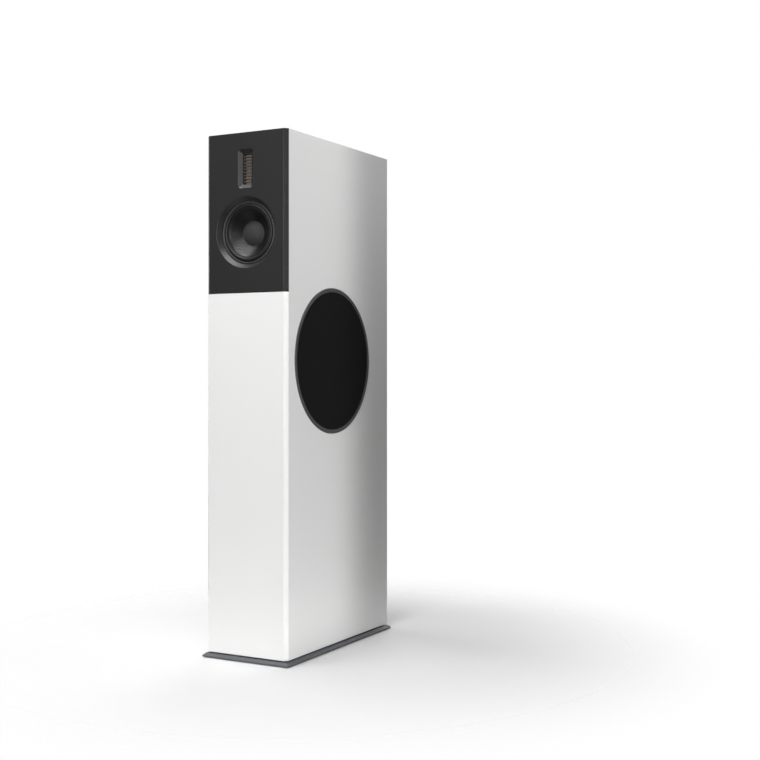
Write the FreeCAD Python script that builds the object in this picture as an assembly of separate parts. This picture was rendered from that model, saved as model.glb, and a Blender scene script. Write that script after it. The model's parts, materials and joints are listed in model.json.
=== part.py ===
"""Floorstanding three-way loudspeaker: white lacquered MDF cabinet on a low plinth, a metal upper baffle
with a pleated air-motion tweeter and a cone midrange, and a woofer on the right side behind a round grille.

Frame: +Z up, +X to the right seen from the front, the front faces -Y, and the origin is the point of the
floor under the middle of the plinth. Millimetres."""

import FreeCAD
import Part
import math
import os
from dataclasses import dataclass
from FreeCAD import Placement, Rotation, Vector

# Cabinet
cabinet_width = 180.0
cabinet_depth = 388.0
cabinet_height = 972.0
wall = 19.0              # MDF of sides, top, bottom, front and rear
corner_chamfer = 6.5     # on the two upright front corners
edge_radius = 0.8        # lacquered edges
sub_baffle_thickness = 22.0
shelf_thickness = 16.0   # inner shelf, chamber wall and braces
running_gap = 0.5        # parts dropped into a recess
soft_gap = 0.3           # round soft pieces
rest_gap = 0.3           # between pieces that move apart

# Plinth
plinth_thickness = 7.0
plinth_overhang = 5.5
plinth_edge = 2.5        # upright part of the plinth's rim
shadow_gap = 2.5
shadow_inset = 6.0
foot_reveal = 1.5
foot_radius = 14.0
foot_thickness = 3.0
foot_inset = 30.0
bolt_inset = 62.0        # plinth bolts, from the cabinet's outline

# Metal upper baffle plate
plate_height = 298.5
plate_thickness = 8.0
plate_screw_inset = 11.0 # from the cabinet's inner side
plate_screw_end = 12.0   # from the plate's lower edge to the first screw row
plate_screw_top = 33.0   # from the cabinet's top to the highest row
plate_screw_middle = 115.0

# Tweeter
tweeter_drop = 67.5      # from the cabinet's top to the middle of the foil
mouth_width = 34.3
mouth_height = 72.5
mouth_corner = 6.0
mouth_depth = 5.5
foil_width = 18.6
foil_height = 58.0
foil_corner = 1.5
foil_pleats = 20
foil_depth = 6.0
foil_set_back = 0.5      # from the face's bars to the pleats
foil_wall = 1.2          # pleated foil, measured along its depth
face_width = 44.0
face_height = 89.0
face_thickness = 4.0
face_skin = 1.5          # thickness of the bars across the face's window
face_slots = 10
face_slot_height = 4.2
face_screw_x = 15.0
face_screw_z = 39.5
body_width = 38.0
body_height = 70.0
tweeter_magnet_depth = 7.0
tweeter_magnet_side = 1.0   # from the foil to each bar
back_plate_thickness = 4.0
back_slots = 9
back_slot_height = 3.0
cup_depth = 22.0
cup_wall = 2.0

# Side woofer and midrange positions
mid_drop = 185.5         # from the cabinet's top to the driver's axis
mid_mouth_cover = 6.8    # how far the plate covers the driver's flange
mid_flare = 7.3          # growth of the mouth towards the plate's front
mid_flange_gap = 1.5     # from the plate's back to the driver's flange
bass_drop = 423.7        # from the cabinet's top to the woofer's axis
bass_back = 167.3        # from the cabinet's front to the woofer's axis
mount_ring_thickness = 20.0
mount_ring_margin = 14.0 # beyond the woofer's flange
gasket_thickness = 1.0

# Grille
grille_margin = 9.5      # beyond the woofer's flange
grille_rim = 7.2         # visible width of the ring
grille_proud = 1.2
grille_seat_depth = 7.5
cloth_thickness = 0.6
cloth_sink = 0.4         # cloth below the ring's face
ledge_width = 7.0        # inner ledge that carries the cloth
rib_width = 5.0
rib_thickness = 1.4
magnet_radius = 3.5
magnet_depth = 4.0
magnet_count = 6

# Chambers, port and braces
shelf_drop = 259.0       # from the cabinet's top to the shelf's upper face
chamber_depth = 214.0    # from the cabinet's front to the chamber wall
brace_frame = 14.0
port_height = 259.0
port_radius = 32.0
port_wall = 3.0
port_length = 160.0
port_flare = 10.0
port_flange_radius = 50.0
port_flange_thickness = 5.0

# Connection terminal
terminal_height = 99.0
cup_inner_width = 104.0
cup_inner_height = 64.0
cup_inner_depth = 32.0
cup_shell = 2.5
cup_flange = 10.0
cup_flange_thickness = 2.5
post_spacing = 38.0
stud_radius = 4.0
stud_tail = 12.0
socket_radius = 2.0
socket_length = 18.0
post_base_radius = 9.0
post_base_thickness = 4.0
collar_radius = 8.0
collar_thickness = 2.0
knob_radius = 10.0
knob_length = 18.0
knob_grips = 12
knob_grip_radius = 1.6
thread_clearance = 0.05
knob_mouth = 1.2         # round the plug

# Fasteners
m4_radius = 2.0
m4_head = 3.75
m4_head_depth = 2.1
m4_length = 16.0
m5_radius = 2.5
m5_head = 4.25
m5_head_height = 5.0
m5_length = 25.0
m5_sink = 2.0            # counterbore behind the sub-baffle
m6_radius = 3.0
m6_head = 5.0
m6_head_height = 4.0
m6_length = 16.0

# Crossover and wiring
board_width = 110.0
board_length = 220.0
board_thickness = 1.6
board_front = 74.0       # from the cabinet's front to the board
standoff_height = 6.0
standoff_radius = 4.0
block_side = 11.0
block_height = 10.0
lead_radius = 2.0
cable_radius = 2.5
cable_clearance = 1.0
cable_x = 44.0

# Levels and planes worked out from the values above
base_z = foot_reveal + plinth_thickness + shadow_gap
top_z = base_z + cabinet_height
front_y = -cabinet_depth / 2
rear_y = cabinet_depth / 2
side_x = cabinet_width / 2
inner_x = side_x - wall
plate_z = top_z - plate_height
plate_screw_x = inner_x - plate_screw_inset
plate_back_y = front_y + plate_thickness
sub_back_y = plate_back_y + sub_baffle_thickness
shelf_top_z = top_z - shelf_drop
chamber_y = front_y + chamber_depth
tweeter_z = top_z - tweeter_drop
mid_z = top_z - mid_drop
bass_z = top_z - bass_drop
bass_y = front_y + bass_back
floor_z = base_z + wall
terminal_z = base_z + terminal_height
port_z = base_z + port_height
cup_floor_y = rear_y - cup_inner_depth


@dataclass
class Driver:
    """One cone driver. Heights run along its axis, outwards, from the back of its flange."""
    flange_radius: float
    flange_thickness: float
    flange_width: float      # from the basket's body to the flange's rim
    lip_width: float         # from the recess for the surround's outer lip to the flange's rim
    lip_depth: float
    lip_flat: float          # flat of the surround between that recess and its roll
    screw_count: int
    roll_radius: float
    rubber: float
    inner_lip: float
    cone_thickness: float
    cone_drop: float
    cap_radius: float
    cap_height: float
    former_radius: float
    former_wall: float
    former_length: float
    coil_build: float
    coil_height: float
    coil_gap: float
    spider_ledge: float      # radius of the ledge's outer wall
    spider_depth: float
    spider_rolls: int
    basket_depth: float
    basket_wall: float
    windows: int
    top_plate_radius: float
    top_plate_thickness: float
    magnet_radius: float
    magnet_bore: float
    magnet_thickness: float
    yoke_thickness: float
    vent_radius: float
    tab_angle: float         # degrees round the axis

    @property
    def body_radius(self):
        return self.flange_radius - self.flange_width

    @property
    def lip_radius(self):
        return self.flange_radius - self.lip_width

    @property
    def screw_circle(self):
        return self.flange_radius - self.lip_width / 2

    @property
    def roll_centre(self):
        return self.lip_radius - self.lip_flat - self.roll_radius

    @property
    def lip_floor(self):
        return self.flange_thickness - self.lip_depth

    @property
    def roll_outer(self):
        return self.roll_centre + self.roll_radius

    @property
    def cone_radius(self):
        return self.roll_centre - self.roll_radius

    @property
    def neck_height(self):
        return self.lip_floor - self.cone_drop

    @property
    def cap_base(self):
        rim = self.cone_radius - self.inner_lip
        slope = self.cone_drop / (rim - self.former_radius)
        return self.neck_height + (self.cap_radius - self.former_radius) * slope

    @property
    def top_plate_height(self):
        return -self.basket_depth

    @property
    def magnet_height(self):
        return self.top_plate_height - self.top_plate_thickness

    @property
    def yoke_height(self):
        return self.magnet_height - self.magnet_thickness


mid = Driver(
    flange_radius=66.0, flange_thickness=4.5, flange_width=9.5, lip_width=7.5, lip_depth=1.2, lip_flat=4.3,
    screw_count=6, roll_radius=3.7, rubber=0.8, inner_lip=2.0, cone_thickness=0.6, cone_drop=21.5,
    cap_radius=23.3, cap_height=8.5, former_radius=16.2, former_wall=0.3, former_length=26.0, coil_build=0.7,
    coil_height=12.0, coil_gap=0.5, spider_ledge=40.5, spider_depth=22.0, spider_rolls=5, basket_depth=31.0,
    basket_wall=2.2, windows=6, top_plate_radius=38.0, top_plate_thickness=6.0, magnet_radius=42.0,
    magnet_bore=20.0, magnet_thickness=15.0, yoke_thickness=6.0, vent_radius=5.0, tab_angle=-90.0)

bass = Driver(
    flange_radius=131.0, flange_thickness=5.5, flange_width=13.0, lip_width=10.0, lip_depth=1.6, lip_flat=8.0,
    screw_count=8, roll_radius=8.0, rubber=1.2, inner_lip=3.5, cone_thickness=0.9, cone_drop=38.0,
    cap_radius=45.0, cap_height=12.0, former_radius=25.4, former_wall=0.4, former_length=44.0, coil_build=1.0,
    coil_height=20.0, coil_gap=0.7, spider_ledge=68.0, spider_depth=46.0, spider_rolls=6, basket_depth=60.0,
    basket_wall=3.0, windows=6, top_plate_radius=62.0, top_plate_thickness=8.0, magnet_radius=72.0,
    magnet_bore=32.0, magnet_thickness=20.0, yoke_thickness=8.0, vent_radius=9.0, tab_angle=0.0)

mid_mouth_radius = mid.flange_radius - mid_mouth_cover
mount_ring_radius = bass.flange_radius + mount_ring_margin
grille_radius = bass.flange_radius + grille_margin

mid_sink = plate_thickness + mid_flange_gap + mid.flange_thickness
mid_place = Placement(Vector(0, front_y + mid_sink, mid_z), Rotation(Vector(1, 0, 0), 90))
bass_place = Placement(Vector(inner_x + gasket_thickness, bass_y, bass_z), Rotation(Vector(0, 1, 0), 90))


# Shape helpers
def box(x, y, z):
    """Box between pairs of limits."""
    return Part.makeBox(x[1] - x[0], y[1] - y[0], z[1] - z[0], Vector(x[0], y[0], z[0]))


def cylinder(radius, start, axis, length):
    return Part.makeCylinder(radius, length, Vector(*start), Vector(*axis))


def ring(outer, inner, low, high):
    """Flat ring round the Z axis."""
    body = cylinder(outer, (0, 0, low), (0, 0, 1), high - low)
    return body.cut(cylinder(inner, (0, 0, low), (0, 0, 1), high - low))


def line(a, b):
    return Part.LineSegment(Vector(a[0], 0, a[1]), Vector(b[0], 0, b[1])).toShape()


def arc(a, middle, b):
    return Part.Arc(*(Vector(p[0], 0, p[1]) for p in (a, middle, b))).toShape()


def turned(edges):
    """Solid of revolution round the Z axis from edges in the (radius, height) plane."""
    face = Part.Face(Part.Wire(edges))
    solid = face.revolve(Vector(0, 0, 0), Vector(0, 0, 1), 360)
    return Part.Solid(solid.Shells[0]) if solid.ShapeType != "Solid" else solid


def turned_polygon(points):
    return turned([line(a, b) for a, b in zip(points, points[1:] + points[:1])])


def about_axis(shape, count, start=0.0):
    """Copies of a shape, evenly spaced round the Z axis."""
    copies = []
    for i in range(count):
        copy = shape.copy()
        copy.rotate(Vector(0, 0, 0), Vector(0, 0, 1), start + 360.0 * i / count)
        copies.append(copy)
    return copies


def placed(shape, placement):
    moved = shape.copy()
    moved.Placement = placement.multiply(moved.Placement)
    return moved


def slab(width, height, corner, low, high):
    """Rounded rectangle in X and Z, between two planes of Y."""
    body = box((-width / 2, width / 2), (low, high), (-height / 2, height / 2))
    return body.makeFillet(corner, [e for e in body.Edges if abs(e.tangentAt(0).y) > 0.9])


def cut_all(shape, tools):
    return shape.cut(Part.Compound(tools)) if tools else shape


def group(shapes):
    return Part.Compound(shapes)


# Fasteners, each along -Z from the face its head sits on
def countersunk_m4():
    profile = [(0, 0), (m4_head, 0), (m4_radius, -m4_head_depth), (m4_radius, -m4_length), (0, -m4_length)]
    return turned_polygon(profile)


def cap_m5():
    head = cylinder(m5_head, (0, 0, 0), (0, 0, 1), m5_head_height)
    recess = hexagon(2.0, m5_head_height - 2.5, m5_head_height)
    return head.cut(recess).fuse(cylinder(m5_radius, (0, 0, -m5_length), (0, 0, 1), m5_length))


def low_m6():
    head = cylinder(m6_head, (0, 0, 0), (0, 0, 1), m6_head_height)
    recess = hexagon(2.5, m6_head_height - 2.0, m6_head_height)
    return head.cut(recess).fuse(cylinder(m6_radius, (0, 0, -m6_length), (0, 0, 1), m6_length))


def hexagon(flat_half, low, high):
    """Upright hexagonal prism round the Z axis."""
    reach = flat_half / math.cos(math.pi / 6)
    corners = [Vector(reach * math.cos(math.radians(60 * i)), reach * math.sin(math.radians(60 * i)), low)
               for i in range(6)]
    return Part.Face(Part.makePolygon(corners + corners[:1])).extrude(Vector(0, 0, high - low))


def m4_screws():
    """Midrange flange, tweeter face and terminal cup."""
    screw = countersunk_m4()
    flange = [placed(s, mid_place) for s in ring_of(screw, mid)]
    face_turn = Rotation(Vector(1, 0, 0), 90)
    face = [placed(screw, Placement(Vector(x, plate_back_y, tweeter_z + z), face_turn))
            for x in (-face_screw_x, face_screw_x) for z in (-face_screw_z, face_screw_z)]
    cup_turn = Rotation(Vector(1, 0, 0), -90)
    cup_x = cup_inner_width / 2 + cup_shell + cup_flange / 2
    cup_z = cup_inner_height / 2 + cup_shell + cup_flange / 2
    cup_face = rear_y + cup_flange_thickness
    cup = [placed(screw, Placement(Vector(x, cup_face, terminal_z + z), cup_turn))
           for x in (-cup_x, cup_x) for z in (-cup_z, cup_z)]
    return flange + face + cup


def ring_of(screw, driver):
    """A driver's screws in the driver's own frame."""
    screw = screw.copy()
    screw.translate(Vector(driver.screw_circle, 0, driver.flange_thickness))
    return about_axis(screw, driver.screw_count, 180.0 / driver.screw_count)


def m5_screws():
    """Woofer flange, and the metal plate held from behind the sub-baffle."""
    screw = cap_m5()
    flange = [placed(s, bass_place) for s in ring_of(screw, bass)]
    rows = (plate_z + plate_screw_end, top_z - plate_screw_middle, top_z - plate_screw_top)
    turn = Rotation(Vector(1, 0, 0), -90)
    plate = [placed(screw, Placement(Vector(sx * plate_screw_x, sub_back_y - m5_sink, z), turn))
             for sx in (-1, 1) for z in rows]
    return flange, plate


def plinth_bolts():
    """Up through the plinth into the cabinet's bottom."""
    turn = Rotation(Vector(1, 0, 0), 180)
    x, y = cabinet_width / 2 - bolt_inset, cabinet_depth / 2 - bolt_inset
    z = foot_reveal + m6_head_height
    return [placed(low_m6(), Placement(Vector(sx * x, sy * y, z), turn)) for sx in (-1, 1) for sy in (-1, 1)]


# Cabinet
def cabinet_body():
    """The closed outer block that every panel is cut from."""
    x, y, c = side_x, cabinet_depth / 2, corner_chamfer
    outline = [(-x + c, -y), (x - c, -y), (x, -y + c), (x, y), (-x, y), (-x, -y + c)]
    corners = [Vector(px, py, base_z) for px, py in outline]
    body = Part.Face(Part.makePolygon(corners + corners[:1])).extrude(Vector(0, 0, cabinet_height))
    sharp = [e for e in body.Edges
             if abs(e.tangentAt(0).z) < 0.5 or e.BoundBox.YMin > y - 1]
    return body.makeFillet(edge_radius, sharp)


def panel(body, x, y, z):
    return body.common(box(x, y, z))


def cabinet_panels(body, hardware):
    """Glued MDF panels as a dict of node name to solid."""
    in_x = (-inner_x, inner_x)
    deep = (front_y, rear_y)
    tall = (base_z, top_z)
    plate_space = box((-side_x, side_x), (front_y - 1, plate_back_y), (plate_z, top_z + 1))
    parts = {
        "side_panel_left": panel(body, (-side_x, -inner_x), deep, tall).cut(plate_space),
        "side_panel_right": panel(body, (inner_x, side_x), deep, tall).cut(plate_space),
        "front_panel": panel(body, in_x, (front_y, front_y + wall), (base_z, plate_z)),
        "rear_panel": panel(body, in_x, (rear_y - wall, rear_y), tall),
        "bottom_panel": panel(body, in_x, (front_y + wall, rear_y - wall), (base_z, floor_z)),
        "top_panel": panel(body, in_x, (plate_back_y, rear_y - wall), (top_z - wall, top_z)),
        "sub_baffle": box(in_x, (plate_back_y, sub_back_y), (plate_z, top_z - wall)),
    }
    parts["side_panel_right"] = cut_all(parts["side_panel_right"], woofer_cutout() + catch_magnets())
    parts["rear_panel"] = cut_all(parts["rear_panel"], port_cutout() + cup_cutout() + hardware["m4"])
    parts["sub_baffle"] = cut_all(parts["sub_baffle"],
                                  mid_cutout() + tweeter_cutout() + hardware["m4"] + hardware["m5_plate"])
    parts["bottom_panel"] = cut_all(parts["bottom_panel"], hardware["m6"])
    return parts


def chamber_walls():
    """Floor and back of the midrange's own chamber."""
    x = (-inner_x, inner_x)
    floor = box(x, (sub_back_y, chamber_y + shelf_thickness), (shelf_top_z - shelf_thickness, shelf_top_z))
    back = box(x, (chamber_y, chamber_y + shelf_thickness), (shelf_top_z, top_z - wall))
    return [floor, cut_all(back, cable_holes())]


def window_braces():
    """Frames across the bass chamber, with one large window each, below and above the port."""
    reach_y = cabinet_depth / 2 - wall
    cup_top = terminal_z + cup_inner_height / 2 + cup_shell
    port_reach = port_radius + port_wall
    middles = ((cup_top + port_z - port_reach) / 2, (port_z + port_reach + bass_z - mount_ring_radius) / 2)
    frames = []
    for middle in middles:
        z = (middle - shelf_thickness / 2, middle + shelf_thickness / 2)
        outer = box((-inner_x, inner_x), (-reach_y, reach_y), z)
        inner_y = reach_y - 2 * brace_frame
        window = box((-inner_x + brace_frame, inner_x - brace_frame), (-inner_y, inner_y), z)
        window = window.makeFillet(brace_frame, [e for e in window.Edges if abs(e.tangentAt(0).z) > 0.9])
        frames.append(outer.cut(window))
    return frames


def woofer_cutout():
    bore = cylinder(bass.flange_radius + running_gap, (inner_x - 1, bass_y, bass_z), (1, 0, 0), wall + 2)
    seat = cylinder(grille_radius + running_gap, (side_x - grille_seat_depth, bass_y, bass_z), (1, 0, 0),
                    grille_seat_depth + 1)
    return [bore, seat]


def mount_ring(hardware):
    """Ring that carries the woofer, glued inside the right side and trimmed to the bass chamber."""
    low = inner_x - mount_ring_thickness
    chamber = box((low, inner_x), (front_y + wall, rear_y - wall), (floor_z, shelf_top_z - shelf_thickness))
    outer = cylinder(mount_ring_radius, (low, bass_y, bass_z), (1, 0, 0), mount_ring_thickness)
    bore = cylinder(bass.body_radius + running_gap, (low - 1, bass_y, bass_z), (1, 0, 0),
                    mount_ring_thickness + 2)
    return cut_all(outer.common(chamber).cut(bore), hardware["m5_flange"])


def mid_cutout():
    recess_y = front_y + mid_sink + gasket_thickness
    recess = cylinder(mid.flange_radius + running_gap, (0, plate_back_y - 1, mid_z), (0, 1, 0),
                      recess_y - plate_back_y + 1)
    bore = cylinder(mid.body_radius + running_gap, (0, plate_back_y, mid_z), (0, 1, 0),
                    sub_baffle_thickness + 1)
    return [recess, bore]


def tweeter_cutout():
    face = box((-face_width / 2 - running_gap, face_width / 2 + running_gap),
               (plate_back_y - 1, plate_back_y + face_thickness),
               (tweeter_z - face_height / 2 - running_gap, tweeter_z + face_height / 2 + running_gap))
    body = box((-body_width / 2 - running_gap, body_width / 2 + running_gap),
               (plate_back_y, sub_back_y + 1),
               (tweeter_z - body_height / 2 - running_gap, tweeter_z + body_height / 2 + running_gap))
    return [face, body]


def port_cutout():
    bore = cylinder(port_radius + port_wall + running_gap, (0, rear_y - wall - 1, port_z), (0, 1, 0),
                    wall + 2)
    seat = cylinder(port_flange_radius + running_gap, (0, rear_y - port_flange_thickness, port_z), (0, 1, 0),
                    port_flange_thickness + 1)
    return [bore, seat]


def cup_cutout():
    x = cup_inner_width / 2 + cup_shell + running_gap
    z = cup_inner_height / 2 + cup_shell + running_gap
    return [box((-x, x), (rear_y - wall - 1, rear_y + 1), (terminal_z - z, terminal_z + z))]


def cable_holes():
    radius = cable_radius + cable_clearance
    return [cylinder(radius, (sx * cable_x, chamber_y - 1, z), (0, 1, 0), shelf_thickness + 2)
            for sx, z in ((-1, mid_cable_z), (1, tweeter_cable_z))]


# Plinth
def plinth():
    """Bevelled plate with a raised land that leaves a shadow gap under the cabinet."""
    def rectangle(grow, z):
        x, y = cabinet_width / 2 + grow, cabinet_depth / 2 + grow
        return Part.makePolygon([Vector(-x, -y, z), Vector(x, -y, z), Vector(x, y, z), Vector(-x, y, z),
                                 Vector(-x, -y, z)])
    low, edge, high = foot_reveal, foot_reveal + plinth_edge, foot_reveal + plinth_thickness
    rim = Part.makeLoft([rectangle(plinth_overhang, low), rectangle(plinth_overhang, edge)], True, True)
    bevel = Part.makeLoft([rectangle(plinth_overhang, edge), rectangle(0, high)], True, True)
    x, y = cabinet_width / 2 - shadow_inset, cabinet_depth / 2 - shadow_inset
    land = box((-x, x), (-y, y), (high, base_z))
    return rim.fuse([bevel, land]).removeSplitter()


def foot_positions():
    x, y = cabinet_width / 2 - foot_inset, cabinet_depth / 2 - foot_inset
    return [(sx * x, sy * y) for sx in (-1, 1) for sy in (-1, 1)]


def foot_pads():
    return [cylinder(foot_radius, (x, y, 0), (0, 0, 1), foot_thickness) for x, y in foot_positions()]


# Metal plate
def baffle_plate(body, hardware):
    plate = panel(body, (-side_x, side_x), (front_y, plate_back_y), (plate_z, top_z))
    flare = Part.makeCone(mid_mouth_radius + mid_flare, mid_mouth_radius, plate_thickness,
                          Vector(0, front_y, mid_z), Vector(0, 1, 0))
    mouth = tweeter_mouth()
    return cut_all(plate, [flare, mouth] + hardware["m5_plate"])


def rounded_wire(width, height, corner, y):
    """Rounded rectangle in a plane of constant Y, centred on the tweeter."""
    x, z, c = width / 2, height / 2, corner
    k = c * (1 - math.sqrt(0.5))
    spots = []
    for sx, sz in ((1, 1), (-1, 1), (-1, -1), (1, -1)):
        ends = [(sx * x, sz * (z - c)), (sx * (x - k), sz * (z - k)), (sx * (x - c), sz * z)]
        spots.append(ends if sx * sz > 0 else ends[::-1])
    edges = []
    for i, corner_points in enumerate(spots):
        a, m, b = (Vector(px, y, tweeter_z + pz) for px, pz in corner_points)
        edges.append(Part.Arc(a, m, b).toShape())
        nx, nz = spots[(i + 1) % 4][0]
        edges.append(Part.LineSegment(b, Vector(nx, y, tweeter_z + nz)).toShape())
    return Part.Wire(edges)


def tweeter_mouth():
    """Flared mouth, then a straight throat to the plate's back."""
    wide = rounded_wire(mouth_width, mouth_height, mouth_corner, front_y)
    narrow = rounded_wire(foil_width, foil_height, foil_corner, front_y + mouth_depth)
    flare = Part.makeLoft([wide, narrow], True, True)
    throat = slab(foil_width, foil_height, foil_corner, front_y + mouth_depth, plate_back_y + 1)
    throat.translate(Vector(0, 0, tweeter_z))
    return flare.fuse(throat)


# Tweeter
def slot_row(count, height, start, depth):
    """Cutters for level slots that share the foil's height evenly."""
    pitch = foil_height / count
    x, y = (-foil_width / 2, foil_width / 2), (start - 1, start + depth + 1)
    middles = [(i - (count - 1) / 2) * pitch for i in range(count)]
    return [box(x, y, (z - height / 2, z + height / 2)) for z in middles]


def tweeter_face(hardware):
    """Steel face with level bars in front of the foil."""
    plate = slab(face_width, face_height, 3.0, plate_back_y, plate_back_y + face_thickness)
    window = slab(foil_width, foil_height, foil_corner, plate_back_y + face_skin,
                  plate_back_y + face_thickness + 1)
    face = cut_all(plate, [window] + slot_row(face_slots, face_slot_height, plate_back_y, face_skin))
    face.translate(Vector(0, 0, tweeter_z))
    return cut_all(face, hardware["m4"])


def tweeter_foil():
    """Pleated foil: ridges towards the listener, folded along X."""
    pitch = (foil_height - 2 * foil_corner) / foil_pleats
    ridge_y = plate_back_y + face_skin + foil_set_back
    valley_y = ridge_y + foil_depth
    front = []
    for i in range(2 * foil_pleats + 1):
        z = tweeter_z - foil_pleats * pitch / 2 + i * pitch / 2
        front.append(Vector(-foil_width / 2, ridge_y if i % 2 else valley_y, z))
    back = [Vector(p.x, p.y + foil_wall, p.z) for p in reversed(front)]
    outline = Part.makePolygon(front + back + front[:1])
    return Part.Face(outline).extrude(Vector(foil_width, 0, 0))


def tweeter_magnets():
    """One bar each side of the foil."""
    low = plate_back_y + face_thickness
    near = foil_width / 2 + tweeter_magnet_side
    far = body_width / 2 - 1.0
    z = (tweeter_z - foil_height / 2, tweeter_z + foil_height / 2)
    right = box((near, far), (low, low + tweeter_magnet_depth), z)
    return [right, right.mirror(Vector(0, 0, 0), Vector(1, 0, 0))]


def tweeter_back_plate():
    low = plate_back_y + face_thickness + tweeter_magnet_depth
    plate = slab(body_width, body_height, 3.0, low, low + back_plate_thickness)
    plate = cut_all(plate, slot_row(back_slots, back_slot_height, low, back_plate_thickness))
    plate.translate(Vector(0, 0, tweeter_z))
    return plate


def tweeter_cup():
    low = plate_back_y + face_thickness + tweeter_magnet_depth + back_plate_thickness
    outer = slab(body_width, body_height, 4.0, low, low + cup_depth)
    inner = slab(body_width - 2 * cup_wall, body_height - 2 * cup_wall, 3.0, low - 1,
                 low + cup_depth - cup_wall)
    shell = outer.cut(inner)
    shell.translate(Vector(0, 0, tweeter_z))
    return shell


# Cone drivers, in their own frames
window_share = 0.62      # of the basket's wall left open
rear_ring = 4.0          # of the basket beyond the top plate
tab_block = 6.0
tab_block_thickness = 3.0
tab_length = 12.0
tab_width = 4.8
tab_thickness = 0.8
tab_gap = 7.0
lead_wire = 0.8          # radius of a flexible lead to the coil


def basket(d):
    """Cast frame: flange, tapered wall with windows, spider ledge and rear ring."""
    t = d.basket_wall
    ledge = d.spider_ledge
    rear = d.top_plate_radius + rear_ring
    inner = d.former_radius + d.coil_build + d.coil_gap + 1.5
    outline = [
        (d.flange_radius, 0), (d.flange_radius, d.flange_thickness), (d.lip_radius, d.flange_thickness),
        (d.lip_radius, d.lip_floor), (d.roll_outer, d.lip_floor), (d.roll_outer, -t),
        (ledge, -d.spider_depth + t), (ledge, -d.spider_depth), (ledge - 2 * t, -d.spider_depth),
        (ledge - 2 * t, -d.basket_depth + t), (inner, -d.basket_depth + t), (inner, -d.basket_depth),
        (rear, -d.basket_depth), (ledge + t, -d.spider_depth - t), (ledge + t, -d.spider_depth + t),
        (d.body_radius, -t), (d.body_radius, 0)]
    body = turned_polygon(outline)
    span = window_share * math.pi * (ledge + d.body_radius) / 2 / d.windows
    low, high = -d.spider_depth + 2 * t, -2 * t
    window = box((ledge * 0.8, d.flange_radius), (-span, span), (low, high))
    window = window.makeFillet(t, [e for e in window.Edges if abs(e.tangentAt(0).x) > 0.9])
    return body.cut(Part.Compound(about_axis(window, d.windows, d.tab_angle)))


def surround(d):
    """Half-roll rubber edge with a flat lip on each side."""
    h, t, c = d.lip_floor, d.rubber, d.roll_centre
    low, high = d.roll_radius - t / 2, d.roll_radius + t / 2
    foot = math.sqrt(high ** 2 - t ** 2)
    out, rim = d.lip_radius - soft_gap, d.cone_radius - d.inner_lip
    return turned([
        line((out, h), (c + low, h)), arc((c + low, h), (c, h + low), (c - low, h)),
        line((c - low, h), (rim, h)), line((rim, h), (rim, h + t)), line((rim, h + t), (c - foot, h + t)),
        arc((c - foot, h + t), (c, h + high), (c + foot, h + t)), line((c + foot, h + t), (out, h + t)),
        line((out, h + t), (out, h))])


def cone(d):
    """Cone with a flat rim under the surround and a neck on the former."""
    rim = d.cone_radius - d.inner_lip
    run = rim - d.former_radius
    fall = d.cone_thickness * math.hypot(run, d.cone_drop) / run
    h = d.lip_floor
    return turned_polygon([
        (d.cone_radius, h), (rim, h), (d.former_radius, d.neck_height),
        (d.former_radius, d.neck_height - fall), (rim, h - fall), (d.cone_radius, h - fall)])


def dust_cap(d):
    """Domed shell seated on the cone."""
    base, top, t = d.cap_base, d.cap_base + d.cap_height, d.cone_thickness
    radius = (d.cap_radius ** 2 + d.cap_height ** 2) / (2 * d.cap_height)
    centre = top - radius
    inner = radius - t
    foot = math.sqrt(inner ** 2 - (base - centre) ** 2)

    def on(r, share, reach):
        angle = share * math.asin(reach / r)
        return (r * math.sin(angle), centre + r * math.cos(angle))
    return turned([
        arc((d.cap_radius, base), on(radius, 0.5, d.cap_radius), (0, top)), line((0, top), (0, top - t)),
        arc((0, top - t), on(inner, 0.5, foot), (foot, base)), line((foot, base), (d.cap_radius, base))])


def coil_former(d):
    top = d.neck_height
    return ring(d.former_radius, d.former_radius - d.former_wall, top - d.former_length, top)


def voice_coil(d):
    middle = d.top_plate_height - d.top_plate_thickness / 2
    half = d.coil_height / 2
    return ring(d.former_radius + d.coil_build, d.former_radius, middle - half, middle + half)


def spider(d):
    """Corrugated centring disc on the basket's ledge."""
    height, t = -d.spider_depth, d.cone_thickness
    swing = d.roll_radius * 0.35
    outer, inner = d.spider_ledge - soft_gap, d.former_radius
    flat = 2 * d.basket_wall
    steps = 2 * d.spider_rolls
    points = [(outer, height), (outer - flat, height)]
    for i in range(1, steps):
        r = outer - flat + (inner + 1.5 - outer + flat) * i / steps
        points.append((r, height + (swing if i % 2 else -swing)))
    points += [(inner + 1.5, height), (inner, height)]
    return turned_polygon(points + [(r, h + t) for r, h in reversed(points)])


def top_plate(d):
    bore = d.former_radius + d.coil_build + d.coil_gap
    return ring(d.top_plate_radius, bore, d.magnet_height, d.top_plate_height)


def magnet(d):
    return ring(d.magnet_radius, d.magnet_bore, d.yoke_height, d.magnet_height)


def yoke(d):
    """Back plate and pole in one, with a vent through it."""
    pole = d.former_radius - d.former_wall - d.coil_gap
    back = d.yoke_height - d.yoke_thickness
    plate = cylinder(d.top_plate_radius, (0, 0, back), (0, 0, 1), d.yoke_thickness)
    post = cylinder(pole, (0, 0, d.yoke_height), (0, 0, 1), d.top_plate_height - d.yoke_height)
    vent = cylinder(d.vent_radius, (0, 0, back - 1), (0, 0, 1), d.top_plate_height - back + 2)
    return plate.fuse(post).cut(vent).removeSplitter()


def gasket(d):
    return ring(d.flange_radius - running_gap, d.body_radius + running_gap, -gasket_thickness, 0)


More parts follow.
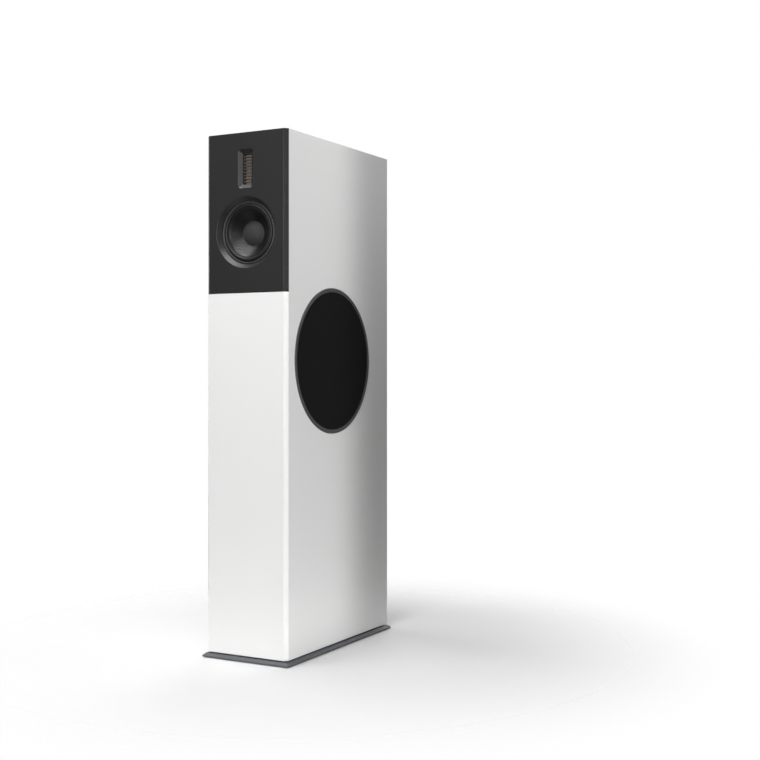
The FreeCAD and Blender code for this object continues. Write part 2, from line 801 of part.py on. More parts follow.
def terminal_tabs(d):
    """Insulator under the basket's rear ring with two tabs that point backwards."""
    start = d.magnet_radius + 1.0
    high = -d.basket_depth
    low = high - tab_block_thickness
    block = box((d.top_plate_radius - 2, start + tab_block), (-tab_gap - 2, tab_gap + 2), (low, high))
    block = block.cut(cylinder(d.top_plate_radius + 0.5, (0, 0, low - 1), (0, 0, 1), tab_block_thickness + 2))
    solids = [block]
    for side in (-1, 1):
        y = side * tab_gap / 2
        solids.append(box((start + 2, start + 2 + tab_thickness), (y - tab_width / 2, y + tab_width / 2),
                          (low - tab_length, low)))
    for shape in solids:
        shape.rotate(Vector(0, 0, 0), Vector(0, 0, 1), d.tab_angle)
    return solids


def tinsel_leads(d):
    """Flexible leads from the terminals, through a basket window, to the back of the cone."""
    rim = d.cone_radius - d.inner_lip
    tilt = math.atan2(d.cone_drop, rim - d.former_radius)
    r = d.former_radius + 0.35 * (rim - d.former_radius)
    height = d.neck_height + (r - d.former_radius) * math.tan(tilt) - d.cone_thickness / math.cos(tilt)
    stand_off = 0.35 * d.spider_depth
    start = d.magnet_radius + 1.0 + tab_block - 2 * lead_wire
    near_r, near_height = r + stand_off * math.sin(tilt), height - stand_off * math.cos(tilt)
    leads = []
    for side in (-1, 1):
        y = side * tab_gap / 2
        lead = cable([(start, y, -d.basket_depth), (start, y, -d.spider_depth / 2), (near_r, y, near_height),
                      (r, y, height)], lead_wire)
        lead.rotate(Vector(0, 0, 0), Vector(0, 0, 1), d.tab_angle)
        leads.append(lead)
    return leads


def mid_trim_ring():
    """Bead that hides the edge between the flange and the surround."""
    low = mid.lip_floor + mid.rubber
    outer, inner = mid.lip_radius - soft_gap, mid.roll_outer + 0.6
    high = low + 1.9
    return turned([line((outer, low), (outer, high - 1.0)),
                   arc((outer, high - 1.0), ((outer + inner) / 2, high), (inner, high - 1.0)),
                   line((inner, high - 1.0), (inner, low)), line((inner, low), (outer, low))])


# Grille, placed round the woofer's axis
def grille_centre():
    return Placement(Vector(side_x, bass_y, bass_z), Rotation(Vector(0, 1, 0), 90))


def grille_ring():
    """Steel ring with a sunk ledge and two ribs behind the cloth."""
    face = grille_proud
    inner = grille_radius - grille_rim
    cloth_back = face - cloth_sink - cloth_thickness
    back = rest_gap - grille_seat_depth
    bevel = 1.0
    ledge = inner - ledge_width
    ledge_back = cloth_back - 2 * rib_thickness
    rim = turned_polygon([(grille_radius, back), (grille_radius, face - bevel), (grille_radius - bevel, face),
                          (inner, face), (inner, cloth_back), (ledge, cloth_back), (ledge, ledge_back),
                          (inner, ledge_back), (inner, back)])
    reach = ledge + 1.0
    low, high = cloth_back - rib_thickness, cloth_back
    ribs = [box((-reach, reach), (-rib_width / 2, rib_width / 2), (low, high)),
            box((-rib_width / 2, rib_width / 2), (-reach, reach), (low, high))]
    for rib in ribs:
        rib.rotate(Vector(0, 0, 0), Vector(0, 0, 1), 45)
    return placed(rim.fuse(ribs).removeSplitter(), grille_centre())


def grille_cloth():
    back = grille_proud - cloth_sink - cloth_thickness
    radius = grille_radius - grille_rim - soft_gap
    disc = cylinder(radius, (0, 0, back), (0, 0, 1), cloth_thickness)
    return placed(disc, grille_centre())


def catch_magnets():
    """Disc magnets in the floor of the grille's seat."""
    middle = (grille_radius + bass.flange_radius) / 2 + running_gap
    disc = cylinder(magnet_radius, (middle, 0, -grille_seat_depth - magnet_depth), (0, 0, 1), magnet_depth)
    return [placed(m, grille_centre()) for m in about_axis(disc, magnet_count, 30.0)]


# Port and connection terminal
def port_tube():
    """Flared tube, let into the rear panel."""
    r, t, f = port_radius, port_wall, port_flare
    bend = f * (1 - math.sqrt(0.5))
    tube = turned([
        line((r, -port_length), (r, -f)), arc((r, -f), (r + bend, -bend), (r + f, 0)),
        line((r + f, 0), (port_flange_radius, 0)),
        line((port_flange_radius, 0), (port_flange_radius, -port_flange_thickness)),
        line((port_flange_radius, -port_flange_thickness), (r + t, -port_flange_thickness)),
        line((r + t, -port_flange_thickness), (r + t, -port_length)),
        line((r + t, -port_length), (r, -port_length))])
    return placed(tube, Placement(Vector(0, rear_y, port_z), Rotation(Vector(1, 0, 0), -90)))


def terminal_cup(hardware):
    """Moulded cup let into the rear, with a flange outside."""
    x, z = cup_inner_width / 2, cup_inner_height / 2
    flange = slab(2 * (x + cup_shell + cup_flange), 2 * (z + cup_shell + cup_flange), 5.0, rear_y,
                  rear_y + cup_flange_thickness)
    shell = slab(2 * (x + cup_shell), 2 * (z + cup_shell), 4.0, cup_floor_y - cup_shell, rear_y)
    hollow = slab(2 * x, 2 * z, 3.0, cup_floor_y, rear_y + cup_flange_thickness + 1)
    cup = flange.fuse(shell).cut(hollow)
    cup.translate(Vector(0, 0, terminal_z))
    low = cup_floor_y - cup_shell - 1
    holes = [cylinder(stud_radius, (x, low, terminal_z), (0, 1, 0), cup_shell + 2)
             for x in (-post_spacing / 2, post_spacing / 2)]
    return cut_all(cup.removeSplitter(), holes + hardware["m4"])


def post_place(sx):
    """Outward frame of one binding post, from the cup's floor."""
    return Placement(Vector(sx * post_spacing / 2, cup_floor_y, terminal_z), Rotation(Vector(1, 0, 0), -90))


def post_studs():
    """Threaded studs with a base outside and a nut inside, bored for a plug."""
    end = post_base_thickness + collar_thickness + knob_length - 2.0
    solids = []
    for sx in (-1, 1):
        stud = cylinder(stud_radius, (0, 0, -cup_shell - stud_tail), (0, 0, 1), cup_shell + stud_tail + end)
        base = cylinder(post_base_radius, (0, 0, 0), (0, 0, 1), post_base_thickness)
        socket = cylinder(socket_radius, (0, 0, end - socket_length), (0, 0, 1), socket_length + 1)
        stud = stud.fuse(base).cut(socket)
        nut = hexagon(6.5, -cup_shell - 5.0, -cup_shell).cut(
            cylinder(stud_radius, (0, 0, -cup_shell - 6.0), (0, 0, 1), 7.0))
        solids += [placed(s, post_place(sx)) for s in (stud.removeSplitter(), nut)]
    return solids


def clamp_collar(sx):
    """Loose washer that the knob pushes on to a wire."""
    low = post_base_thickness + rest_gap
    collar = ring(collar_radius, stud_radius + thread_clearance, low, low + collar_thickness)
    return placed(collar, post_place(sx))


def knob(sx):
    """Fluted screw knob, open at its end for a plug."""
    low = post_base_thickness + collar_thickness + 2 * rest_gap
    high = low + knob_length
    thread, mouth = stud_radius + thread_clearance, socket_radius + knob_mouth
    body = turned_polygon([
        (mouth, high), (knob_radius - 1, high), (knob_radius, high - 1), (knob_radius, low + 1),
        (knob_radius - 1, low), (thread, low), (thread, high - 1.5), (mouth, high - 1.5)])
    flute = cylinder(knob_grip_radius, (knob_radius + 0.6, 0, low - 1), (0, 0, 1), knob_length + 2)
    body = body.cut(Part.Compound(about_axis(flute, knob_grips)))
    return placed(body, post_place(sx))


# Crossover and cables
board_z = floor_z + standoff_height
board_top = board_z + board_thickness
block_top = board_top + block_height
board_y = (front_y + board_front, front_y + board_front + board_length)
rear_block_y = board_y[1] - 14.0
mid_cable_z = mid_z - mid.magnet_radius - 4.5
tweeter_cable_z = mid_cable_z + 24.0
bass_cable_x = -25.0
input_block_y = board_y[1] - 34.0


def block_places():
    """Where each cable meets the board."""
    return [(-cable_x, rear_block_y), (cable_x, rear_block_y), (-post_spacing / 2, input_block_y),
            (post_spacing / 2, input_block_y), (bass_cable_x, bass_y)]


def crossover_board():
    x = board_width / 2
    board = box((-x, x), board_y, (board_z, board_top))
    posts = [cylinder(standoff_radius, (sx * (x - 8), y, floor_z), (0, 0, 1), standoff_height)
             for sx in (-1, 1) for y in (board_y[0] + 8, board_y[1] - 30)]
    half = block_side / 2
    blocks = [box((bx - half, bx + half), (by - half, by + half), (board_top, block_top))
              for bx, by in block_places()]
    return [board] + posts + blocks


def inductors():
    """Air-core coils lying on the board: outer radius, bore, height, and place from the board's front end."""
    coils = ((29.0, 12.0, 24.0, 14.0, 36.0), (17.0, 7.0, 16.0, -35.0, 22.0), (18.0, 8.0, 18.0, 28.0, 92.0))
    solids = []
    for outer, bore, height, x, y in coils:
        coil = ring(outer, bore, board_top, board_top + height)
        coil.translate(Vector(x, board_y[0] + y, 0))
        solids.append(coil)
    return solids


def capacitors():
    """Film capacitors lying along the board: radius, length, and place from the board's front end."""
    cans = ((12.0, 44.0, -12.0, 104.0), (9.0, 36.0, 14.0, 118.0), (9.0, 36.0, 38.0, 118.0),
            (7.0, 30.0, -38.0, 120.0))
    return [cylinder(r, (x, board_y[0] + y, board_top + r), (0, 1, 0), length) for r, length, x, y in cans]


def cable(points, radius):
    """Round cable along straight runs joined by tangent arcs."""
    corners = [Vector(*p) for p in points]
    edges = []
    start = corners[0]
    for before, corner, after in zip(corners, corners[1:], corners[2:]):
        inward, outward = (before - corner).normalize(), (after - corner).normalize()
        turn = math.pi - inward.getAngle(outward)
        shorter = min((before - corner).Length, (after - corner).Length)
        reach = 0.45 * shorter
        bend = reach / math.tan(turn / 2)
        a, b = corner + inward * reach, corner + outward * reach
        towards = (inward + outward).normalize()
        middle = corner + towards * (bend / math.cos(turn / 2) - bend)
        edges.append(Part.LineSegment(start, a).toShape())
        edges.append(Part.Arc(a, middle, b).toShape())
        start = b
    edges.append(Part.LineSegment(start, corners[-1]).toShape())
    path = Part.Wire(edges)
    first = (corners[1] - corners[0]).normalize()
    section = Part.Wire([Part.Circle(corners[0], first, radius).toShape()])
    tube = path.makePipeShell([section], True, False)
    print("cable", round(path.Length, 1), "mm, volume over section times length",
          round(tube.Volume / (math.pi * radius ** 2 * path.Length), 4))
    return tube


def internal_wiring():
    """Two leads from the posts to the board, and a cable from the board to each driver."""
    post_y = cup_floor_y - cup_shell - stud_tail
    leads = [cable([(x, post_y, terminal_z), (x, input_block_y, terminal_z), (x, input_block_y, block_top)],
                   lead_radius) for x in (-post_spacing / 2, post_spacing / 2)]
    tab_end = mid.basket_depth + tab_block_thickness + tab_length
    mid_y = front_y + mid_sink + tab_end
    mid_run = cable([(0, mid_y, mid_cable_z), (0, mid_y + 40, mid_cable_z),
                     (-cable_x, mid_y + 85, mid_cable_z), (-cable_x, rear_block_y, mid_cable_z),
                     (-cable_x, rear_block_y, block_top)], cable_radius)
    cup_y = plate_back_y + face_thickness + tweeter_magnet_depth + back_plate_thickness + cup_depth
    tweeter_run = cable([(0, cup_y, tweeter_z), (0, cup_y + 36, tweeter_z),
                         (cable_x / 2, cup_y + 66, (tweeter_z + tweeter_cable_z) / 2),
                         (cable_x, cup_y + 100, tweeter_cable_z), (cable_x, rear_block_y, tweeter_cable_z),
                         (cable_x, rear_block_y, block_top)], cable_radius)
    tab_x = inner_x + gasket_thickness - bass.basket_depth - tab_block_thickness - tab_length
    tab_z = bass_z - bass.magnet_radius - 4.5
    bass_run = cable([(tab_x, bass_y, tab_z), (bass_cable_x, bass_y, tab_z),
                      (bass_cable_x, bass_y, block_top)], cable_radius)
    return leads + [mid_run, tweeter_run, bass_run]


def damping_fleece():
    """Polyester fleece behind the midrange, and in the space behind its chamber."""
    x = (-inner_x, inner_x)
    z = (tweeter_cable_z + 15.0, top_z - wall)
    return [box(x, (chamber_y - 50, chamber_y), z), box(x, (chamber_y + shelf_thickness, rear_y - wall), z)]


def driver_nodes(name, d, place):
    makers = {"basket": basket, "surround": surround, "cone": cone, "dust_cap": dust_cap,
              "coil_former": coil_former, "voice_coil": voice_coil, "spider": spider, "top_plate": top_plate,
              "magnet": magnet, "yoke": yoke}
    return {f"{name}_{piece}": placed(make(d), place) for piece, make in makers.items()}


def build():
    m5_flange, m5_plate = m5_screws()
    hardware = {"m4": m4_screws(), "m5_flange": m5_flange, "m5_plate": m5_plate, "m6": plinth_bolts()}
    body = cabinet_body()
    nodes = cabinet_panels(body, hardware)
    nodes["chamber_walls"] = group(chamber_walls())
    nodes["window_braces"] = group(window_braces())
    nodes["bass_mount_ring"] = mount_ring(hardware)
    nodes["baffle_plate"] = baffle_plate(body, hardware)
    nodes["plinth_plate"] = cut_all(plinth(), hardware["m6"] + foot_pads())
    nodes["foot_pads"] = group(foot_pads())
    nodes["plinth_bolts"] = group(hardware["m6"])
    nodes["m4_screws"] = group(hardware["m4"])
    nodes["m5_screws"] = group(m5_flange + m5_plate)
    nodes.update(driver_nodes("mid", mid, mid_place))
    nodes.update(driver_nodes("bass", bass, bass_place))
    nodes["mid_basket"] = cut_all(nodes["mid_basket"], hardware["m4"])
    nodes["bass_basket"] = cut_all(nodes["bass_basket"], m5_flange)
    nodes["driver_gaskets"] = group([cut_all(placed(gasket(mid), mid_place), hardware["m4"]),
                                     cut_all(placed(gasket(bass), bass_place), m5_flange)])
    drivers = ((mid, mid_place), (bass, bass_place))
    nodes["driver_terminals"] = group([placed(s, place) for d, place in drivers for s in terminal_tabs(d)])
    nodes["tinsel_leads"] = group([placed(s, place) for d, place in drivers for s in tinsel_leads(d)])
    nodes["mid_trim_ring"] = placed(mid_trim_ring(), mid_place)
    nodes["grille_ring"] = grille_ring()
    nodes["grille_cloth"] = grille_cloth()
    nodes["catch_magnets"] = group(catch_magnets())
    nodes["tweeter_face"] = tweeter_face(hardware)
    nodes["tweeter_foil"] = tweeter_foil()
    nodes["tweeter_magnets"] = group(tweeter_magnets())
    nodes["tweeter_back_plate"] = tweeter_back_plate()
    nodes["tweeter_cup"] = tweeter_cup()
    nodes["port_tube"] = port_tube()
    nodes["terminal_cup"] = terminal_cup(hardware)
    nodes["post_studs"] = group(post_studs())
    for colour, sx in (("red", -1), ("black", 1)):
        nodes[f"clamp_collar_{colour}"] = clamp_collar(sx)
        nodes[f"knob_{colour}"] = knob(sx)
    nodes["crossover_board"] = group(crossover_board())
    nodes["inductors"] = group(inductors())
    nodes["capacitors"] = group(capacitors())
    nodes["internal_wiring"] = group(internal_wiring())
    nodes["damping_fleece"] = group(damping_fleece())
    return nodes


def write(nodes):
    os.makedirs("parts", exist_ok=True)
    for old in os.listdir("parts"):
        if old.endswith(".step") and old[:-5] not in nodes:
            os.remove(os.path.join("parts", old))
    for name, shape in nodes.items():
        for solid in shape.Solids:
            if not solid.isValid() or solid.Volume <= 0:
                raise ValueError(f"{name} holds a bad solid")
        if not shape.Solids:
            raise ValueError(f"{name} holds no solid")
        shape.exportStep(os.path.join("parts", f"{name}.step"))
    print(len(nodes), "nodes")


write(build())
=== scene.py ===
"""Looks of a floorstanding loudspeaker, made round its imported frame.

The file is laid out as an add-on: property groups hold the sizes and colours, one operator makes each piece
or group of like pieces, and a sidebar panel lists them. Sizes are in metres unless a name says otherwise."""

import json
import math

import bmesh
import bpy
from bpy.props import FloatProperty, FloatVectorProperty, IntProperty, PointerProperty
from mathutils import Matrix, Vector, noise


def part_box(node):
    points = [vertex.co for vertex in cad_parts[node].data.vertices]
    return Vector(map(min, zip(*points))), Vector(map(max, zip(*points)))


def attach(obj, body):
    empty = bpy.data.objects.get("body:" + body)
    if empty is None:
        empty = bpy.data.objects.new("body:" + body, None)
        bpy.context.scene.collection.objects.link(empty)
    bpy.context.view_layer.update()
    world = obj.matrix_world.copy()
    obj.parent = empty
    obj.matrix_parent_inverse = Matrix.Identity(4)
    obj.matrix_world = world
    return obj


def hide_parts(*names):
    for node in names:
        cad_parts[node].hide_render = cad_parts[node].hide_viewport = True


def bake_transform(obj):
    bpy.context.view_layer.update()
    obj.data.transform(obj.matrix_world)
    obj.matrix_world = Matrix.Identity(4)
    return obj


bl_info = {
    "name": "Floorstanding Loudspeaker",
    "version": (1, 0, 0),
    "blender": (4, 5, 0),
    "location": "3D View > Sidebar > Loudspeaker",
    "description": "Makes the finished pieces of a floorstanding loudspeaker round its frame",
    "category": "Object",
}

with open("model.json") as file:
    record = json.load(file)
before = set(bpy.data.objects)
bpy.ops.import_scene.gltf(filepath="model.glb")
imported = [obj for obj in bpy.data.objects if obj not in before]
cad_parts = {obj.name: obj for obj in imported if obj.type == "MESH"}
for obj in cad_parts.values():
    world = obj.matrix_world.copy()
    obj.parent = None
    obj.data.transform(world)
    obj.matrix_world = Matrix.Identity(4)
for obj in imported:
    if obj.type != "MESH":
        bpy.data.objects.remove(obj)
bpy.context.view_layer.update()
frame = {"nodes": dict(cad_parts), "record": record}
record = frame["record"]
slot_of = {part["node"]: part["material_slot"] for part in record["subparts"]}
body_of = {node: body for body, nodes in record["behaviour"]["bodies"].items() for node in nodes}
mm = 0.001


# Where things are
class Axis:
    """A line that round pieces share. Heights along it are measured outwards from the frame's origin."""

    def __init__(self, node, outward):
        low, high = (Vector(corner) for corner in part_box(node))
        self.outward = Vector(outward)
        middle = (low + high) / 2
        self.foot = middle - self.outward * middle.dot(self.outward)
        turn = Vector((0, 0, 1)).rotation_difference(self.outward).to_matrix().to_4x4()
        self.matrix = Matrix.Translation(self.foot) @ turn

    def radius(self, node):
        low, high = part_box(node)
        return max(h - l for l, h, o in zip(low, high, self.outward) if abs(o) < 0.5) / 2

    def span(self, node):
        """Lowest and highest height of a node along the axis."""
        ends = [Vector(corner).dot(self.outward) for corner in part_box(node)]
        return min(ends), max(ends)

    def point(self, radius, angle, height):
        return self.matrix @ Vector((radius * math.cos(angle), radius * math.sin(angle), height))


mid_axis = Axis("mid_cone", (0, -1, 0))
bass_axis = Axis("bass_cone", (1, 0, 0))
port_axis = Axis("port_tube", (0, 1, 0))


# Node trees written as expressions
class Value:
    """A socket of a node tree. Arithmetic on it adds Math nodes."""

    def __init__(self, tree, socket):
        self.tree, self.socket = tree, socket

    def __add__(self, other):
        return self.tree.maths("ADD", self, other)

    def __sub__(self, other):
        return self.tree.maths("SUBTRACT", self, other)

    def __rsub__(self, other):
        return self.tree.maths("SUBTRACT", other, self)

    def __mul__(self, other):
        return self.tree.maths("MULTIPLY", self, other)

    def __truediv__(self, other):
        return self.tree.maths("DIVIDE", self, other)

    def __pow__(self, other):
        return self.tree.maths("POWER", self, other)

    __radd__, __rmul__ = __add__, __mul__

    def output(self, name):
        return Value(self.tree, self.socket.node.outputs[name])


class Tree:
    """A node tree that is filled by one method and by arithmetic."""

    def __init__(self, tree):
        self.tree = tree

    def node(self, kind, settings=None, inputs=None, output=0):
        made = self.tree.nodes.new(kind)
        for key, setting in (settings or {}).items():
            setattr(made, key, setting)
        for key, value in (inputs or {}).items():
            self.feed(made.inputs[key], value)
        return Value(self, made.outputs[output])

    def feed(self, socket, value):
        if isinstance(value, Value):
            self.tree.links.new(value.socket, socket)
        else:
            socket.default_value = value

    def maths(self, operation, *terms):
        return self.node("ShaderNodeMath", {"operation": operation}, dict(enumerate(terms)))

    def combine(self, x, y, z):
        return self.node("ShaderNodeCombineXYZ", inputs={0: x, 1: y, 2: z})

    def smoothstep(self, value, low, high):
        settings = {"interpolation_type": "SMOOTHSTEP", "clamp": True}
        return self.node("ShaderNodeMapRange", settings, {"Value": value, "From Min": low, "From Max": high})


class Finish(Tree):
    """A material: one Principled shader whose colour, roughness and bump come from nodes."""
    names = {"specular": "Specular IOR Level", "coat": "Coat Weight", "coat_roughness": "Coat Roughness",
             "sheen": "Sheen Weight", "sheen_roughness": "Sheen Roughness", "metallic": "Metallic"}

    def __init__(self, **constants):
        self.material = bpy.data.materials.new("finish")
        self.material.use_nodes = True
        super().__init__(self.material.node_tree)
        self.tree.nodes.clear()
        self.shader = self.tree.nodes.new("ShaderNodeBsdfPrincipled")
        output = self.tree.nodes.new("ShaderNodeOutputMaterial")
        self.tree.links.new(self.shader.outputs[0], output.inputs["Surface"])
        for key, value in constants.items():
            self.shader.inputs[self.names[key]].default_value = value
        self.place = self.node("ShaderNodeTexCoord", output="Object")

    def noise(self, scale, detail=2.0, at=None):
        inputs = {"Vector": at or self.place, "Scale": scale, "Detail": detail}
        return self.node("ShaderNodeTexNoise", inputs=inputs)

    def mix(self, factor, a, b):
        """Colour a at factor 0 and b at 1."""
        inputs = {0: factor}
        for index, colour in ((6, a), (7, b)):
            inputs[index] = colour if isinstance(colour, Value) else (*colour, 1.0)
        return self.node("ShaderNodeMix", {"data_type": "RGBA"}, inputs, output=2)

    def stretched(self, x, y, z):
        """Object coordinates scaled along each axis."""
        return self.node("ShaderNodeVectorMath", {"operation": "MULTIPLY"}, {0: self.place, 1: (x, y, z)})

    def apart(self):
        return self.node("ShaderNodeSeparateXYZ", inputs={0: self.place})

    def colour(self, value):
        self.feed(self.shader.inputs["Base Color"], value if isinstance(value, Value) else (*value, 1.0))
        return self

    def rough(self, value):
        self.feed(self.shader.inputs["Roughness"], value)
        return self

    def bump(self, height, distance, strength=1.0):
        inputs = {"Height": height, "Distance": distance, "Strength": strength}
        self.feed(self.shader.inputs["Normal"], self.node("ShaderNodeBump", inputs=inputs, output="Normal"))
        return self


def shade(colour, factor):
    return tuple(channel * factor for channel in colour)


# Finishes, one function for each kind of surface
def lacquer(colours):
    """Satin lacquer: faint orange peel and the slightest cloudiness."""
    f = Finish(coat=0.25, coat_roughness=0.12)
    cloud, peel, dust = f.noise(9, 3), f.noise(420, 1.5), f.noise(2600, 2)
    f.colour(f.mix(cloud, shade(colours.lacquer, 0.985), colours.lacquer))
    return f.rough(colours.lacquer_roughness + 0.05 * cloud + 0.04 * dust).bump(peel + 0.3 * dust, 0.00003)


def raw_board(colours):
    """Bare fibreboard with pressed fibres."""
    f = Finish(specular=0.2)
    fibre = f.noise(700, 4, f.stretched(1, 1, 0.25))
    fleck = f.noise(2300, 2)
    f.colour(f.mix(fibre, (0.36, 0.24, 0.14), (0.56, 0.41, 0.26)))
    return f.rough(0.82 + 0.12 * fleck).bump(fibre + 0.5 * fleck, 0.00015)


def anodised_plate(colours):
    """Bead-blasted, dark anodised metal."""
    f = Finish(specular=0.5)
    grain, cloud = f.noise(5200, 2), f.noise(14, 3)
    f.colour(f.mix(grain, shade(colours.plate, 0.8), shade(colours.plate, 1.25)))
    return f.rough(0.36 + 0.08 * grain + 0.04 * cloud).bump(grain, 0.00002)


def satin_paint(colour, roughness, grain_scale=2400):
    """Sprayed paint on metal with a fine grain and rubbed lighter spots."""
    f = Finish(specular=0.45)
    grain, wear = f.noise(grain_scale, 2), f.noise(55, 4)
    rubbed = f.smoothstep(wear, 0.62, 0.8)
    f.colour(f.mix(0.25 * rubbed + 0.25 * grain, colour, shade(colour, 1.7)))
    return f.rough(roughness + 0.12 * grain - 0.06 * rubbed).bump(grain, 0.00003)


def moulded_plastic(colour, roughness, specular=0.5, grain_scale=1700):
    """Spark-eroded grain on moulded plastic."""
    f = Finish(specular=specular)
    cells = f.node("ShaderNodeTexVoronoi", inputs={"Vector": f.place, "Scale": grain_scale})
    cloud = f.noise(30, 3)
    f.colour(f.mix(cloud, shade(colour, 0.9), shade(colour, 1.15)))
    return f.rough(roughness + 0.08 * cloud).bump(cells, 0.00004)


def rubber(colour, roughness=0.55):
    """Moulded rubber with a dull bloom."""
    f = Finish(specular=0.35, sheen=0.08, sheen_roughness=0.4)
    bloom, grain = f.noise(40, 4), f.noise(3000, 2)
    f.colour(f.mix(bloom, colour, shade(colour, 1.8)))
    return f.rough(roughness + 0.15 * bloom).bump(grain, 0.00002)


def bare_metal(colour, roughness, brushed=(1, 1, 1), scale=900):
    """Metal with turning or brushing marks along the axis whose factor is small."""
    f = Finish(metallic=1.0)
    marks, stain = f.noise(scale, 3, f.stretched(*brushed)), f.noise(60, 3)
    f.colour(f.mix(marks, shade(colour, 0.82), colour))
    return f.rough(roughness + 0.14 * marks + 0.08 * stain).bump(marks, 0.00001)


def powder_coat(colours):
    """Black powder coat on a cast frame."""
    f = Finish(specular=0.4)
    lumps, fine = f.noise(1500, 2), f.noise(4800, 1)
    f.colour(f.mix(lumps, (0.018, 0.018, 0.019), (0.035, 0.035, 0.036)))
    return f.rough(0.52 + 0.12 * fine).bump(lumps + 0.4 * fine, 0.00006)


def cone_gloss(colours):
    """Polished black film over a fibre cone; the fibres show faintly under the gloss."""
    f = Finish(specular=0.3, coat=0.12, coat_roughness=0.12)
    fibres, cloud = f.noise(900, 4, f.stretched(1, 0.4, 1)), f.noise(70, 3)
    f.colour(f.mix(fibres, colours.cone, shade(colours.cone, 2.2)))
    return f.rough(0.26 + 0.1 * cloud + 0.05 * fibres).bump(fibres, 0.00001)


def cap_matt(colours):
    """Matt dust cap of doped cloth."""
    f = Finish(specular=0.3, sheen=0.05)
    weave, cloud = f.noise(2600, 2), f.noise(60, 3)
    f.colour(f.mix(weave, shade(colours.cap, 0.85), shade(colours.cap, 1.2)))
    return f.rough(0.6 + 0.1 * cloud).bump(weave, 0.00003)


def woven(colour, hollow_shade, threads, roughness, depth, flat=("Y", "Z")):
    """Plain weave: two crossed sets of threads, one over the other in turn, in the plane of two axes. Where the
    weave lies low its colour turns to the darker one, as painted shade in its hollows, with a random lint tone over
    it.
    """
    f = Finish(specular=0.08, sheen=0.03, sheen_roughness=0.5)
    place = f.apart()
    across, along = (place.output(axis) * (math.tau * threads) for axis in flat)
    warp, weft = f.maths("SINE", across), f.maths("SINE", along)
    over = f.smoothstep(f.maths("SINE", across * 0.5) * f.maths("SINE", along * 0.5), -0.3, 0.3)
    height = over * warp + (1 - over) * weft
    lint = f.noise(threads * 0.3, 4)
    # painted shade: the low points of the weave take the darker colour
    f.colour(f.mix(f.smoothstep(height + 0.8 * lint, -0.3, 1.3), hollow_shade, colour))
    return f.rough(roughness + 0.1 * lint).bump(height + lint, depth)


def pleated_film(colours):
    """Amber film with thin metal tracks that run along each fold."""
    f = Finish(metallic=0.35, specular=0.5)
    place = f.apart()
    tracks = f.smoothstep(f.maths("SINE", place.output("Y") * (math.tau * 700)), -0.2, 0.3)
    haze = f.noise(300, 3)
    f.colour(f.mix(tracks, colours.film, colours.film_tracks))
    return f.rough(0.42 + 0.15 * haze - 0.1 * tracks).bump(tracks + 0.3 * haze, 0.00003)


def wound_wire(colour):
    """Enamelled copper, turn beside turn, painted darker in the grooves between the turns as shade, with a random
    drift in tone.
    """
    f = Finish(metallic=0.85, coat=0.3, coat_roughness=0.15)
    place = f.apart()
    turns = f.maths("SINE", place.output("Z") * (math.tau * 1100))
    drift = f.noise(120, 3)
    # painted shade: the grooves between turns take the copper at 0.45 of its brightness
    f.colour(f.mix(f.smoothstep(turns + drift, -0.4, 1.2), shade(colour, 0.45), colour))
    return f.rough(0.3 + 0.15 * drift).bump(turns, 0.0001)


def ferrite(colours):
    """Ground ceramic magnet with open pores."""
    f = Finish(specular=0.4)
    pores, sweep = f.noise(1300, 4), f.noise(90, 3)
    f.colour(f.mix(pores, (0.03, 0.03, 0.032), (0.085, 0.085, 0.09)))
    return f.rough(0.48 + 0.25 * pores).bump(f.smoothstep(pores, 0.3, 0.5) + 0.3 * sweep, 0.00012)


def circuit_laminate(colours):
    """Green solder mask over copper tracks."""
    f = Finish(coat=0.4, coat_roughness=0.1)
    place = f.apart()
    lanes = f.maths("SINE", place.output("X") * 420) * f.maths("SINE", place.output("Y") * 260)
    copper, cloth = f.smoothstep(lanes, 0.25, 0.3), f.noise(1500, 2)
    f.colour(f.mix(copper, (0.012, 0.09, 0.035), (0.03, 0.2, 0.08)))
    return f.rough(0.35 + 0.15 * cloth).bump(copper + 0.2 * cloth, 0.00004)


def film_sleeve(colours):
    """Shrunk sleeve of a film capacitor."""
    f = Finish(coat=0.5, coat_roughness=0.08)
    folds, cloud = f.noise(260, 3, f.stretched(1, 0.15, 1)), f.noise(25, 2)
    f.colour(f.mix(cloud, (0.62, 0.30, 0.04), (0.78, 0.44, 0.08)))
    return f.rough(0.25 + 0.15 * folds).bump(folds, 0.00015)


def fleece_fibre(colours):
    """Loose polyester fibres."""
    f = Finish(specular=0.1, sheen=0.5, sheen_roughness=0.6)
    strands, tufts = f.noise(900, 6, f.stretched(1, 1, 3)), f.noise(60, 5)
    f.colour(f.mix(tufts, (0.72, 0.72, 0.69), (0.90, 0.90, 0.88)))
    return f.rough(0.9 + 0.1 * tufts).bump(strands + tufts, 0.0012)


